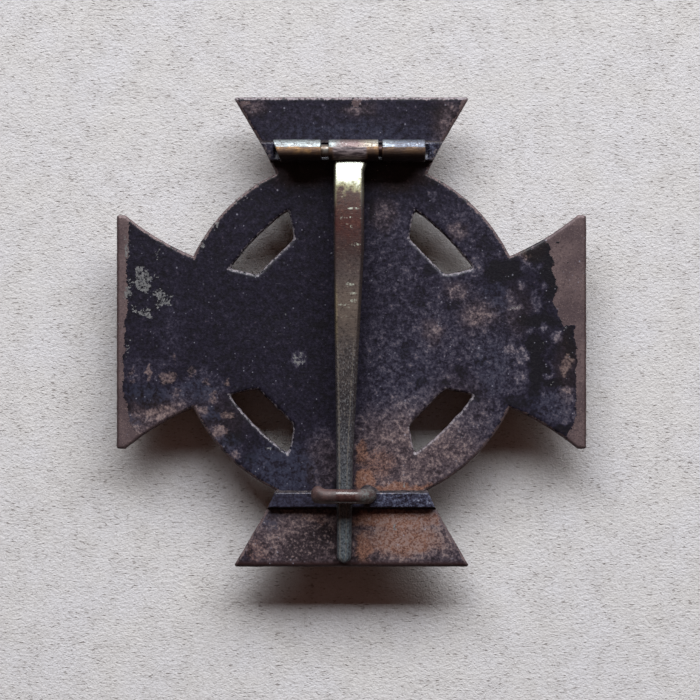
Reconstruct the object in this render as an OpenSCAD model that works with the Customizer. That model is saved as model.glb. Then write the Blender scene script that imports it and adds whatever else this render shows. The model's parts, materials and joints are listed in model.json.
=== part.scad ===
// Pin-back cap badge: a pierced cross with a raised centre, a tube hinge,
// a brooch pin and a wire catch.
// Millimetres. The badge lies face down: z = 0 is the foremost plane of the
// raised centre, the plain back faces +Z, and the arm with the hinge points
// along +Y. The origin is the middle of the badge, in that foremost plane.

/* [Cross plate] */
// Span across two opposite arms
span = 42; // [41:0.5:44]
// Width of an arm across its outer corners
arm_tip_w = 20.9; // [20.3:0.1:21.5]
// Radius of an arm's concave sides
arm_side_r = 25; // [24:0.5:26]
// Narrowest width of an arm
arm_waist_w = 9.66; // [9.5:0.02:9.9]
// Distance of that waist from the middle of the badge
arm_waist_y = 4.45; // [4.2:0.05:4.7]
// Outer radius of the ring that joins the arms
ring_outer_r = 15.7; // [15.4:0.1:16]
// Inner radius of the ring, where the four openings end
ring_inner_r = 12.3; // [12:0.1:13]
// Radius of the solid centre, where the four openings begin
centre_r = 9.8; // [9.6:0.1:10.2]
// Thickness of the plate
plate_t = 1.2; // [1:0.1:1.6]

/* [Front relief] */
// Width of the raised border round an arm's front
border_w = 0.9; // [0.6:0.1:1.2]
// Width of the two raised rims of the ring's front
rim_w = 0.5; // [0.4:0.1:0.8]
// Depth of the sunken fields between them
field_depth = 0.35; // [0.2:0.05:0.5]
// Height of the wreath on the ring's front, over the plate's front
wreath_h = 1.2; // [0.9:0.1:1.3]
// Width of the wreath across its foot
wreath_w = 2; // [1.6:0.1:2.2]

/* [Medallion] */
// Radius of the medallion's disc
medallion_r = 9.4; // [9.3:0.1:9.6]
// Thickness of the medallion's disc
medallion_t = 1.4; // [1.2:0.1:1.8]
// Outer radius of its raised border
medallion_border_r = 9.1; // [8.9:0.1:9.2]
// Width of that border
medallion_border_w = 1.5; // [1.2:0.1:1.8]
// Height of that border
medallion_border_h = 1; // [0.8:0.1:1.2]
// Number of petals on the rosette
petals = 8; // [6:1:12]
// Length of a petal
petal_l = 4.6; // [4:0.1:5]
// Width of a petal
petal_w = 2.1; // [1.8:0.1:2.4]
// Height of a petal
petal_h = 0.55; // [0.4:0.05:0.65]
// Diameter of the rosette's domed middle
boss_d = 2.8; // [2.4:0.1:3.2]

/* [Hinge] */
// Distance of the hinge axis from the middle of the badge
hinge_y = 16.1; // [16:0.1:16.5]
// Height of the hinge axis over the back of the plate
hinge_h = 1.3; // [1.25:0.05:1.4]
// Outer diameter of the hinge tubes
knuckle_d = 2; // [1.9:0.05:2.1]
// Diameter of the hinge rod
rod_d = 1.1; // [1:0.05:1.2]
// Outer end of the left tube
left_knuckle_x = -6.65; // [-6.7:0.05:-6.4]
// Outer end of the right tube
right_knuckle_x = 6.55; // [6.3:0.05:6.6]
// Half of the gap between the two fixed tubes
knuckle_gap_x = 2.72; // [2.7:0.02:2.9]
// Width of the strip that the tubes are soldered to
hinge_strip_w = 1.6; // [1.5:0.1:1.8]
// Thickness of that strip
hinge_strip_t = 0.6; // [0.5:0.05:0.65]

/* [Brooch pin] */
// Left end of the pin's rolled head
head_left_x = -2.05; // [-2.3:0.05:-1.9]
// Right end of the pin's rolled head
head_right_x = 2.4; // [2.2:0.05:2.6]
// Radial play of the rolled head on the rod
head_play = 0.05; // [0.03:0.01:0.08]
// Slope at which the needle leaves the head, in degrees
needle_rise = 30; // [28:1:32]
// Slope at which the straight needle falls to the catch, in degrees
needle_fall = 4.5; // [4.3:0.1:4.6]
// Radius of the needle's bow, along its middle
bow_r = 14.7; // [14.5:0.1:14.9]
// Thickness of the needle at its bow
needle_t = 0.9; // [0.8:0.05:0.95]
// Thickness of the needle at its tip
tip_t = 0.6; // [0.5:0.05:0.65]
// Distance of the tip from the middle of the badge
tip_y = -20.6; // [-20.7:0.1:-20]
// Width of the tip
tip_w = 1.28; // [1.1:0.02:1.3]

/* [Catch] */
// Middle of the catch strip
catch_strip_y = -15; // [-15.1:0.05:-14.9]
// Width of the catch strip
catch_strip_w = 1.3; // [1.2:0.05:1.4]
// Thickness of the catch strip
catch_strip_t = 0.55; // [0.5:0.05:0.6]
// Distance of the hook's wire from the middle of the badge
hook_y = -14.6; // [-14.7:0.05:-14.5]
// Diameter of the hook's wire
wire_d = 1.35; // [1.3:0.05:1.4]
// Place of the hook's upright foot
foot_x = 1.5; // [1.4:0.05:1.6]
// Where the hook's top begins to curl down, over its open side
curl_x = -2; // [-2.2:0.05:-1.9]
// Angle through which the open end curls, in degrees
curl_angle = 65; // [55:1:66]
// Bend radius along the middle of the wire
bend_r = 0.95; // [0.9:0.05:1]
// Height of the middle of the wire's top over the back of the plate
hook_h = 2.15; // [2.15:0.05:2.3]

/* [Hidden] */
$fn = 96;

// how far a cutter reaches past the surface that it opens
over = 0.5;
arm_side_x = arm_waist_w / 2 + arm_side_r;

// levels, from the front plane to the back of the plate
disc_z = medallion_border_h;
plate_z = disc_z + medallion_t;
back_z = plate_z + plate_t;

// rosette: a petal is the overlap of two equal circles
petal_r = (petal_l * petal_l + petal_w * petal_w) / (4 * petal_w);
petal_root = boss_d / 2 - 0.3;
boss_h = petal_h + 0.25;
boss_r = (boss_d * boss_d / 4 + boss_h * boss_h) / (2 * boss_h);

// hinge
hinge_z = back_z + hinge_h;
knuckle_r = knuckle_d / 2;
rod_r = rod_d / 2;
rod_inset = 0.2;
head_clearance = 0.15;
left_end_slant = 21;
solder_leg = 0.3;

// needle, seen from the side: an arc that leaves the head along a tangent of
// its underside, then a straight taper; [y, z] of the arc's centre and ends
bow_root = knuckle_r - needle_t / 2;
bow_centre = [
    hinge_y - (bow_root + bow_r) * sin(needle_rise),
    hinge_z - (bow_root + bow_r) * cos(needle_rise)
];
bow_end = bow_centre + bow_r * [-sin(needle_fall), cos(needle_fall)];
fall = [-cos(needle_fall), -sin(needle_fall)];
fall_normal = [-sin(needle_fall), cos(needle_fall)];
tip = bow_end + fall * (bow_end[0] - tip_y) / cos(needle_fall);

// needle, seen from above: half a flare at the head, a parallel shank and a
// taper that lies mostly on the right side
shank_left_x = -1.58;
shank_right_x = 1.12;
flare_right_x = 1.42;
flare_y = 15;
shank_y = 14.2;
taper_y = 7.3;
slim_left_x = -1.36;
slim_right_x = 0.14;
slim_y = -11;
tip_x = -0.66;

// catch
hook_z = back_z + hook_h;
wire_r = wire_d / 2;
hook_solder_r = 1.02;
hook_solder_h = 0.95;

// one arm, pointing along +Y, with every side moved inwards by inset
module arm_outline(inset = 0) {
    difference() {
        translate([inset - arm_tip_w / 2, 0])
            square([arm_tip_w - 2 * inset, span / 2 - inset]);
        for (side = [-1, 1])
            translate([side * arm_side_x, arm_waist_y])
                circle(r = arm_side_r + inset);
    }
}

module ring_outline(inner_r, outer_r) {
    difference() {
        circle(r = outer_r);
        circle(r = inner_r);
    }
}

module cross_outline() {
    for (quarter = [0 : 3])
        rotate(90 * quarter)
            arm_outline();
    circle(r = centre_r);
    ring_outline(ring_inner_r, ring_outer_r);
}

// the sunken parts of the front
module front_fields() {
    for (quarter = [0 : 3])
        rotate(90 * quarter)
            difference() {
                arm_outline(border_w);
                circle(r = ring_outer_r);
            }
    ring_outline(ring_inner_r + rim_w, ring_outer_r - rim_w);
}

// a tube or rod along X
module bar_x(from_x, to_x, r) {
    translate([from_x, 0, 0])
        rotate([0, 90, 0])
            cylinder(r = r, h = to_x - from_x);
}

// a strip across one arm, ending flush with the arm's sides;
// side is 1 for the hinge's arm and -1 for the catch's
module arm_strip(side, low_y, high_y, t) {
    translate([0, 0, back_z])
        linear_extrude(t)
            intersection() {
                rotate(side < 0 ? 180 : 0)
                    arm_outline();
                translate([-arm_tip_w / 2, low_y])
                    square([arm_tip_w, high_y - low_y]);
            }
}

// a straight fillet of solder along one edge of a strip; away is the
// direction in which it spreads from the edge, 1 or -1 along Y
module solder_fillet(side, edge_y, away) {
    intersection() {
        arm_strip(side, min(edge_y, edge_y + away * solder_leg),
            max(edge_y, edge_y + away * solder_leg), solder_leg);
        translate([-arm_tip_w / 2, edge_y, back_z])
            rotate([90, 0, 90])
                linear_extrude(arm_tip_w)
                    polygon([[0, 0], [away * solder_leg, 0], [0, solder_leg]]);
    }
}

// the wreath: a band with sloping sides that stands in the ring's sunken field
module wreath() {
    middle_r = (ring_inner_r + ring_outer_r) / 2;
    foot = wreath_w / 2;
    top = foot - 0.3;
    rotate_extrude()
        polygon([
            [middle_r - foot, plate_z + field_depth + 0.1],
            [middle_r - top, plate_z - wreath_h],
            [middle_r + top, plate_z - wreath_h],
            [middle_r + foot, plate_z + field_depth + 0.1]
        ]);
}

module cross_plate() {
    color("#2b2830") {
        difference() {
            translate([0, 0, plate_z])
                linear_extrude(plate_t)
                    cross_outline();
            translate([0, 0, plate_z - over])
                linear_extrude(field_depth + over)
                    front_fields();
        }
        wreath();
    }
}

module medallion_disc() {
    color("#5f4638")
        translate([0, 0, disc_z])
            cylinder(r = medallion_r, h = medallion_t);
}

module medallion_border() {
    color("#80604a")
        linear_extrude(medallion_border_h)
            ring_outline(medallion_border_r - medallion_border_w, medallion_border_r);
}

module petal_outline() {
    translate([petal_root + petal_l / 2, 0])
        intersection_for (side = [-1, 1])
            translate([0, side * (petal_r - petal_w / 2)])
                circle(r = petal_r);
}

// eight petals round a domed boss that stands a little prouder
module rosette() {
    color("#8a6a4c") {
        translate([0, 0, disc_z - petal_h])
            linear_extrude(petal_h)
                for (index = [0 : petals - 1])
                    rotate(360 / petals * index)
                        petal_outline();
        intersection() {
            translate([0, 0, disc_z - boss_h + boss_r])
                sphere(r = boss_r);
            translate([0, 0, disc_z - boss_h - over])
                cylinder(d = 2 * boss_d, h = boss_h + over);
        }
    }
}

module hinge_strip() {
    color("#3a3034")
        difference() {
            arm_strip(1, hinge_y - hinge_strip_w / 2, hinge_y + hinge_strip_w / 2, hinge_strip_t);
            translate([0, hinge_y, hinge_z]) {
                bar_x(left_knuckle_x, right_knuckle_x, knuckle_r);
                bar_x(-knuckle_gap_x, knuckle_gap_x, knuckle_r + head_clearance);
            }
        }
}

module hinge_strip_solder() {
    color("#8c8786")
        for (away = [-1, 1])
            solder_fillet(1, hinge_y + away * hinge_strip_w / 2, away);
}

module knuckle(from_x, to_x, bore_r) {
    difference() {
        bar_x(from_x, to_x, knuckle_r);
        bar_x(from_x - over, to_x + over, bore_r);
    }
}

// the left tube's outer end is cut on a slant, along the side of the arm
module hinge_knuckle_left() {
    color("#a58a5e")
        translate([0, hinge_y, hinge_z])
            difference() {
                knuckle(left_knuckle_x - over, -knuckle_gap_x, rod_r);
                translate([left_knuckle_x, 0, 0])
                    rotate(left_end_slant)
                        translate([-2 * knuckle_d, -knuckle_d, -knuckle_d])
                            cube(2 * knuckle_d);
            }
}

module hinge_knuckle_right() {
    color("#a58a5e")
        translate([0, hinge_y, hinge_z])
            knuckle(knuckle_gap_x, right_knuckle_x, rod_r);
}

module hinge_rod() {
    color("#8d8f92")
        translate([0, hinge_y, hinge_z])
            bar_x(left_knuckle_x + 2 * rod_inset, right_knuckle_x - rod_inset, rod_r);
}

// side view of the needle, drawn with y across and z up
module needle_side() {
    translate(bow_centre)
        intersection() {
            ring_outline(bow_r - needle_t / 2, bow_r + needle_t / 2);
            polygon([
                [0, 0],
                2 * bow_r * [sin(needle_rise), cos(needle_rise)],
                2 * bow_r * [0, 1],
                2 * bow_r * [-sin(needle_fall), cos(needle_fall)]
            ]);
        }
    polygon([
        bow_end - fall_normal * needle_t / 2,
        bow_end + fall_normal * needle_t / 2,
        tip + fall_normal * tip_t / 2,
        tip - fall_normal * tip_t / 2
    ]);
}

// the needle seen from above
module needle_top() {
    polygon([
        [shank_left_x, hinge_y],
        [flare_right_x, hinge_y],
        [flare_right_x, flare_y],
        [shank_right_x, shank_y],
        [shank_right_x, taper_y],
        [slim_right_x, slim_y],
        [tip_x + tip_w / 2, tip_y + tip_w / 2],
        [tip_x - tip_w / 2, tip_y + tip_w / 2],
        [slim_left_x, slim_y],
        [shank_left_x, taper_y]
    ]);
    translate([tip_x, tip_y + tip_w / 2])
        circle(d = tip_w);
}

// a rolled head that turns on the rod, and the bowed needle in one piece with it
module brooch_pin() {
    color("#8f7a4f")
        difference() {
            union() {
                translate([0, hinge_y, hinge_z])
                    bar_x(head_left_x, head_right_x, knuckle_r);
                intersection() {
                    translate([-span / 2, 0, 0])
                        rotate([90, 0, 90])
                            linear_extrude(span)
                                needle_side();
                    linear_extrude(2 * hinge_z)
                        needle_top();
                }
            }
            translate([0, hinge_y, hinge_z])
                bar_x(head_left_x - over, head_right_x + over, rod_r + head_play);
        }
}

// notched where the foot of the hook stands
module catch_strip() {
    color("#33323c")
        difference() {
            arm_strip(-1, catch_strip_y - catch_strip_w / 2, catch_strip_y + catch_strip_w / 2,
                catch_strip_t);
            translate([foot_x, hook_y, back_z - over])
                cylinder(r = wire_r, h = catch_strip_t + 2 * over);
        }
}

module catch_strip_solder() {
    color("#8c8786")
        difference() {
            for (away = [-1, 1])
                solder_fillet(-1, catch_strip_y + away * catch_strip_w / 2, away);
            translate([foot_x, hook_y, back_z - over])
                cylinder(r = hook_solder_r, h = catch_strip_t + 2 * over);
        }
}

// drawn with x across and z up, then stood upright: an upright foot, a bend,
// a straight top over the needle, and a curl that leaves the left side open
module catch_hook() {
    bend_z = hook_z - bend_r;
    color("#7a4a38")
        translate([0, hook_y, 0])
            rotate([90, 0, 0]) {
                translate([foot_x, back_z, 0])
                    rotate([-90, 0, 0])
                        cylinder(r = wire_r, h = bend_z - back_z);
                translate([foot_x - bend_r, bend_z, 0])
                    rotate_extrude(angle = 90)
                        translate([bend_r, 0])
                            circle(r = wire_r);
                translate([0, hook_z, 0])
                    bar_x(curl_x, foot_x - bend_r, wire_r);
                translate([curl_x, bend_z, 0])
                    rotate(90)
                        rotate_extrude(angle = curl_angle)
                            translate([bend_r, 0])
                                circle(r = wire_r);
            }
}

// a cone of solder round the hook's foot, standing on the plate and the strip
module hook_solder() {
    color("#8c8786")
        difference() {
            translate([foot_x, hook_y, back_z])
                cylinder(r1 = hook_solder_r, r2 = wire_r + 0.05, h = hook_solder_h);
            translate([foot_x, hook_y, back_z - over])
                cylinder(r = wire_r, h = hook_solder_h + 2 * over);
            arm_strip(-1, catch_strip_y - catch_strip_w / 2, catch_strip_y + catch_strip_w / 2,
                catch_strip_t);
        }
}

cross_plate();
medallion_disc();
medallion_border();
rosette();
hinge_strip();
hinge_strip_solder();
hinge_knuckle_left();
hinge_knuckle_right();
hinge_rod();
brooch_pin();
catch_strip();
catch_strip_solder();
catch_hook();
hook_solder();
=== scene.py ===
import json
import math

import bmesh
import bpy
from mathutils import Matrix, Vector, geometry, noise


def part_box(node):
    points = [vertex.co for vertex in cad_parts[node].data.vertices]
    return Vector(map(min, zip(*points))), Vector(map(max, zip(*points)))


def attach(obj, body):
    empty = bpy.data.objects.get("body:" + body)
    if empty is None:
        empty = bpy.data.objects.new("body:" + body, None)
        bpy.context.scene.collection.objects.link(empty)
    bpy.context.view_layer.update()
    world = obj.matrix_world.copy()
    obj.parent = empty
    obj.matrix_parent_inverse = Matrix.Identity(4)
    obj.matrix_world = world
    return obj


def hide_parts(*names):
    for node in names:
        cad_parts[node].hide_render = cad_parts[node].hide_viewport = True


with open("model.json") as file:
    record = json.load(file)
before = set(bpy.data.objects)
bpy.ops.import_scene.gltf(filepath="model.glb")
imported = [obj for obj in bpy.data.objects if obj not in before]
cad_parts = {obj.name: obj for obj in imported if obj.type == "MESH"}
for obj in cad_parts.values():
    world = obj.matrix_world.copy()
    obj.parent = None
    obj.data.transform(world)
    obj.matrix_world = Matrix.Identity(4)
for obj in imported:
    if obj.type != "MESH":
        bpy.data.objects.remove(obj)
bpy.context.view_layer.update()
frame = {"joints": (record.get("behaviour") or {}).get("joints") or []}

MM = 0.001

# ---------------------------------------------------------------- sizes, from the frame where it has them
plate_low, plate_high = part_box("cross_plate")
HALF_SPAN = plate_high.x
BACK_Z = plate_high.z
WREATH_H = 1.2 * MM
FRONT_Z = plate_low.z + WREATH_H

# the outline of the cross, as the CAD source draws it
TIP_HALF = 10.45 * MM
ARM_SIDE_R = 25 * MM
ARM_SIDE_X = ARM_SIDE_R + 4.83 * MM
ARM_SIDE_Y = 4.45 * MM
RING_R = 15.7 * MM
HOLE_OUTER_R = 12.3 * MM
HOLE_INNER_R = 9.8 * MM
TIP_FILLET = 0.2 * MM
# the ends of the hinge's and the catch's arms have straight sides from here on
STRAIGHT_Y = 17.5 * MM
STRAIGHT_X = 8.51 * MM
STRAIGHT_SLOPE = 0.588
STRAIGHT_LENGTH = 1.16  # of such a side, for each unit of its rise
BACK_ROUND = 0.3 * MM
FRONT_ROUND = 0.15 * MM
BORDER_W = 0.9 * MM
RIM_W = 0.5 * MM
FIELD_DEPTH = 0.35 * MM
RING_MIDDLE_R = (HOLE_OUTER_R + RING_R) / 2
DIAGONAL = math.sqrt(0.5)

joint = frame["joints"][0]
HINGE_Y = joint["pos_m"][1]
HINGE_Z = joint["pos_m"][2]


# ---------------------------------------------------------------- node materials
def srgb(red, green, blue):
    """A colour as seen, from 0 to 255, as linear light."""
    def linear(value):
        value /= 255
        return value / 12.92 if value <= 0.04045 else ((value + 0.055) / 1.055) ** 2.4
    return (linear(red), linear(green), linear(blue), 1.0)


class Graph:
    """One node material. Every method returns an output socket."""

    def __init__(self, name):
        self.material = bpy.data.materials.new(name)
        self.material.use_nodes = True
        self.tree = self.material.node_tree
        self.tree.nodes.clear()
        self.place = self.node("ShaderNodeTexCoord").outputs["Object"]

    def node(self, kind, inputs=None, **settings):
        made = self.tree.nodes.new(kind)
        for key, value in settings.items():
            setattr(made, key, value)
        for key, value in (inputs or {}).items():
            self.feed(made.inputs[key], value)
        return made

    def feed(self, socket, value):
        if isinstance(value, bpy.types.NodeSocket):
            self.tree.links.new(value, socket)
        else:
            socket.default_value = value

    def moved(self, stretch=(1, 1, 1), shift=(0, 0, 0), turn=(0, 0, 0)):
        mapping = {"Vector": self.place, "Scale": stretch, "Location": shift, "Rotation": turn}
        return self.node("ShaderNodeMapping", mapping).outputs["Vector"]

    def noise(self, size, detail=2.0, rough=0.5, where=None, seed=0.0):
        """Noise whose features are about size across."""
        if where is None:
            where = self.moved(shift=(seed, 0.7 * seed, 1.3 * seed)) if seed else self.place
        inputs = {"Vector": where, "Scale": 1 / size, "Detail": detail, "Roughness": rough}
        return self.node("ShaderNodeTexNoise", inputs).outputs["Fac"]

    def cells(self, size, where=None):
        """Distance from the middle of each cell, in cells."""
        inputs = {"Vector": where or self.place, "Scale": 1 / size}
        return self.node("ShaderNodeTexVoronoi", inputs).outputs["Distance"]

    def cell_value(self, size, where=None):
        """A random number from 0 to 1 for each cell."""
        inputs = {"Vector": where or self.place, "Scale": 1 / size}
        colour = self.node("ShaderNodeTexVoronoi", inputs).outputs["Color"]
        return self.node("ShaderNodeSeparateColor", {"Color": colour}).outputs["Red"]

    def calc(self, operation, first, second):
        return self.node("ShaderNodeMath", {0: first, 1: second}, operation=operation).outputs[0]

    def total(self, *terms):
        result = terms[0]
        for term in terms[1:]:
            result = self.calc("ADD", result, term)
        return result

    def times(self, *terms):
        result = terms[0]
        for term in terms[1:]:
            result = self.calc("MULTIPLY", result, term)
        return result

    def swing(self, value, amount):
        """Noise round 0 instead of round 0.5, times an amount."""
        return self.calc("MULTIPLY", self.calc("SUBTRACT", value, 0.5), amount)

    def step(self, value, low, high, start=0.0, end=1.0):
        """A smooth step from start to end as value goes from low to high."""
        inputs = {"Value": value, "From Min": low, "From Max": high, "To Min": start, "To Max": end}
        return self.node("ShaderNodeMapRange", inputs,
                         interpolation_type="SMOOTHSTEP").outputs["Result"]

    def share(self, value, low, high):
        """From 0 to 1, in proportion, as value goes from low to high."""
        inputs = {"Value": value, "From Min": low, "From Max": high}
        return self.node("ShaderNodeMapRange", inputs).outputs["Result"]

    def between(self, factor, first, second):
        """A number between two numbers."""
        return self.total(first, self.times(factor, self.calc("SUBTRACT", second, first)))

    def mix(self, factor, first, second):
        """A blend of two colours, each an output socket or (red, green, blue) as seen."""
        if isinstance(first, tuple):
            first = srgb(*first)
        if isinstance(second, tuple):
            second = srgb(*second)
        return self.node("ShaderNodeMix", {0: factor, 6: first, 7: second}, data_type="RGBA").outputs[2]

    def ramp(self, value, *stops):
        """Colours at places from 0 to 1; a stop is (place, red, green, blue)."""
        made = self.node("ShaderNodeValToRGB", {"Fac": value})
        elements = made.color_ramp.elements
        while len(elements) < len(stops):
            elements.new(0.5)
        for element, stop in zip(elements, stops):
            element.position = stop[0]
        for element, stop in zip(elements, stops):
            element.color = srgb(*stop[1:])
        return made.outputs["Color"]

    def attribute(self, name):
        return self.node("ShaderNodeAttribute", attribute_name=name).outputs["Fac"]

    def spot(self, x, y, half_w, half_h, bend):
        """1 inside a small ellipse given in millimetres, 0 outside, with its outline bent by a noise."""
        across = self.calc("DIVIDE", self.calc("SUBTRACT", self.axis("X"), x * MM), half_w * MM)
        along = self.calc("DIVIDE", self.calc("SUBTRACT", self.axis("Y"), y * MM), half_h * MM)
        squares = self.total(self.times(across, across), self.times(along, along), self.swing(bend, 2.4))
        outside, inside = 1.5, 0.6
        return self.step(squares, outside, inside)

    def axis(self, letter):
        return self.node("ShaderNodeSeparateXYZ", {"Vector": self.place}).outputs[letter]

    def finish(self, colour, roughness, metallic=0.0, height=None, relief=0.02 * MM, specular=0.5):
        """Principled shader; the bump's relief is in metres."""
        inputs = {"Base Color": colour, "Roughness": roughness, "Metallic": metallic,
                  "Specular IOR Level": specular}
        if height is not None:
            bump = self.node("ShaderNodeBump", {"Height": height, "Distance": relief, "Strength": 1.0})
            inputs["Normal"] = bump.outputs["Normal"]
        shader = self.node("ShaderNodeBsdfPrincipled", inputs)
        output = self.node("ShaderNodeOutputMaterial")
        self.tree.links.new(shader.outputs["BSDF"], output.inputs["Surface"])
        return self.material


# In the materials, the numbers of a step are where it starts and ends on its noise or mark, and
# colours are as seen, from 0 to 255. Seeds only move a noise, so that two noises differ.
def plate_back_material():
    """Black lacquer over brown metal, worn in the places that the mesh's attributes give; they also give
    painted highlights and painted shade along the arms' ends.
    """
    g = Graph("worn_lacquer")
    worn, warm = g.attribute("worn"), g.attribute("warm")
    kept = g.attribute("kept")
    tiny = g.noise(0.11 * MM, 2, 0.6)
    fine = g.noise(0.24 * MM, 3, 0.65, seed=0.003)
    mid = g.noise(0.6 * MM, 3, 0.62, seed=0.007)
    broad = g.noise(2.6 * MM, 3, 0.55, seed=0.011)

    # how far the lacquer is rubbed: its mean from the mesh, its mottling from three noises
    mottle = g.total(g.swing(mid, 1.35), g.swing(fine, 1.15), g.swing(tiny, 0.65))
    contrast = g.step(worn, 0.0, 0.5, 0.56, 1.05)
    level = g.total(0.15, g.times(worn, 0.55), g.swing(broad, 0.18), g.times(mottle, contrast))
    level = g.calc("SUBTRACT", level, g.times(kept, g.step(mid, 0.3, 0.6, 0.2, 0.5)))
    cool = g.ramp(level, (0.0, 14, 11, 20), (0.18, 23, 19, 34), (0.34, 36, 32, 48),
                  (0.5, 54, 50, 64), (0.66, 76, 71, 83), (0.82, 104, 93, 98),
                  (1.0, 136, 122, 123))
    brown = g.ramp(level, (0.0, 24, 16, 18), (0.3, 47, 36, 40), (0.55, 80, 66, 70),
                   (0.75, 106, 89, 89), (1.0, 144, 122, 117))
    colour = g.mix(warm, cool, brown)

    # bluish smears in the lacquer
    blue = g.times(g.attribute("blue"), g.step(g.total(mid, g.swing(fine, 0.5)), 0.38, 0.6))
    colour = g.mix(g.times(blue, 0.75), colour, g.mix(fine, (30, 32, 46), (54, 58, 78)))

    # pink and tan blotches
    blotch = g.total(g.attribute("pink"), g.swing(mid, 0.9), g.swing(fine, 1.1), g.swing(tiny, 0.6))
    tan = g.mix(g.step(fine, 0.35, 0.65), (98, 80, 80), (140, 118, 112))
    colour = g.mix(g.times(g.step(blotch, 0.3, 1.2), 0.66), colour, tan)

    # rust, redder where it is thin
    rusty = g.total(g.attribute("rust"), g.swing(mid, 0.45), g.swing(fine, 0.5), g.swing(tiny, 0.6))
    grit = g.step(g.total(g.times(fine, 0.4), g.times(tiny, 0.6)), 0.38, 0.62)
    rust = g.mix(grit, (94, 60, 50), (144, 104, 86))
    colour = g.mix(g.step(rusty, 0.1, 0.85, 0, 0.9), colour, rust)

    # single grains rubbed through to the metal
    grain = g.step(g.total(worn, g.swing(mid, 0.9), g.swing(fine, 1.3), g.swing(tiny, 0.6)), 0.84, 1.0)
    colour = g.mix(g.times(grain, 0.6), colour, g.mix(warm, (112, 106, 116), (136, 117, 113)))

    # bare brown metal with a ragged edge
    ragged = g.total(g.swing(mid, 0.8), g.swing(fine, 0.8), g.swing(tiny, 0.5), g.times(kept, -0.9))
    bare = g.step(g.total(g.attribute("bare"), ragged), 0.45, 0.55)
    metal = g.mix(g.step(broad, 0.4, 0.62), (104, 87, 88), (86, 71, 74))
    metal = g.mix(g.step(fine, 0.49, 0.66, 0, 0.65), metal, (64, 50, 54))
    metal = g.mix(g.step(tiny, 0.55, 0.72, 0, 0.6), metal, (140, 120, 116))
    colour = g.mix(bare, colour, metal)

    # chips, in grains, that show a grey undercoat
    chips = g.total(g.attribute("flake"), g.swing(mid, 0.7), g.swing(fine, 1.2), g.swing(tiny, 0.7))
    flake = g.step(chips, 0.5, 0.6)
    grey = g.mix(g.step(g.total(g.times(fine, 0.5), g.times(tiny, 0.5)), 0.38, 0.64),
                 (72, 71, 75), (130, 129, 129))
    colour = g.mix(g.times(flake, 0.85), colour, grey)

    # bright rims: rubbed metal round the openings and painted highlights along the top and bottom arms'
    # ends; then painted shade, a dark band along the bottom arm's lower edge and the side arms' ends
    rim = g.step(g.total(g.attribute("rim"), g.swing(fine, 1.2), g.swing(mid, 0.6)), 0.5, 0.66)
    colour = g.mix(g.times(rim, 0.7), colour, (136, 128, 134))
    # painted shade: a dark band where the edges turn away from the light
    colour = g.mix(g.times(g.attribute("shade"), 0.85), colour, (48, 28, 28))

    # light dots and hair scratches
    dots = g.times(g.step(g.cell_value(0.6 * MM), 0.88, 0.96), g.step(g.cells(0.6 * MM), 0.06, 0.2, 1, 0))
    spread = g.moved(shift=(0.013, 0.004, 0))
    small = g.times(g.step(g.cell_value(0.26 * MM, spread), 0.88, 0.96),
                    g.step(g.cells(0.26 * MM, spread), 0.12, 0.3, 1, 0))
    dots = g.calc("MAXIMUM", g.times(dots, 0.6), g.times(small, 0.6))
    colour = g.mix(g.times(dots, g.step(mid, 0.42, 0.62, 0.15, 1)), colour, (156, 154, 168))
    hairs = g.noise(0.3 * MM, 1, 0.5, where=g.moved(stretch=(0.2, 1.5, 1), turn=(0, 0, 0.5)))
    more_hairs = g.noise(0.3 * MM, 1, 0.5, where=g.moved(stretch=(0.2, 1.4, 1), turn=(0, 0, -1.2)))
    hair = g.calc("MAXIMUM", g.step(hairs, 0.78, 0.83), g.step(more_hairs, 0.78, 0.83))
    colour = g.mix(g.times(hair, 0.2), colour, (130, 126, 136))

    rough = g.total(0.46, g.times(worn, 0.08), g.swing(fine, 0.3), g.times(bare, 0.04))
    height = g.total(g.times(tiny, 0.25), g.times(fine, 0.4), g.times(mid, 0.35),
                     g.times(g.calc("MAXIMUM", bare, flake), -0.5))
    return g.finish(colour, rough, g.times(bare, 0.25), height, 0.04 * MM, specular=0.35)


def plate_front_material():
    """Struck, darkened bronze: dark in the sunken fields, rubbed on what stands proud."""
    g = Graph("struck_bronze")
    grain = g.noise(0.22 * MM, 3, 0.6)
    mid = g.noise(1.1 * MM, 4, 0.6, seed=0.4)
    proud = g.attribute("proud")
    dark = g.mix(mid, (34, 27, 27), (58, 44, 40))
    rubbed = g.mix(g.step(mid, 0.35, 0.65), (130, 92, 66), (168, 128, 92))
    worn = g.step(g.total(proud, g.swing(mid, 0.7)), 0.55, 0.85)
    colour = g.mix(worn, dark, rubbed)
    stipple = g.cells(0.3 * MM)
    field = g.step(proud, 0.1, 0.35, 1, 0)
    height = g.total(g.times(grain, 0.3), g.times(stipple, field))
    return g.finish(colour, g.total(0.34, g.times(grain, 0.2)), g.total(0.35, g.times(worn, 0.6)), height,
                    0.06 * MM)


def bronze_material():
    """Aged bronze of the medallion, dark in its hollows."""
    g = Graph("aged_bronze")
    grain = g.noise(0.2 * MM, 3, 0.6)
    mid = g.noise(1.3 * MM, 4, 0.6, seed=0.9)
    low = g.step(g.attribute("proud"), 0.2, 0.8)
    colour = g.mix(low, (48, 35, 31), g.mix(mid, (140, 98, 68), (178, 136, 96)))
    colour = g.mix(g.step(mid, 0.55, 0.8, 0, 0.6), colour, (70, 54, 46))
    height = g.total(g.times(grain, 0.5), g.times(mid, 0.5))
    return g.finish(colour, g.total(0.3, g.times(mid, 0.25)), 0.85, height, 0.02 * MM)


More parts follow.
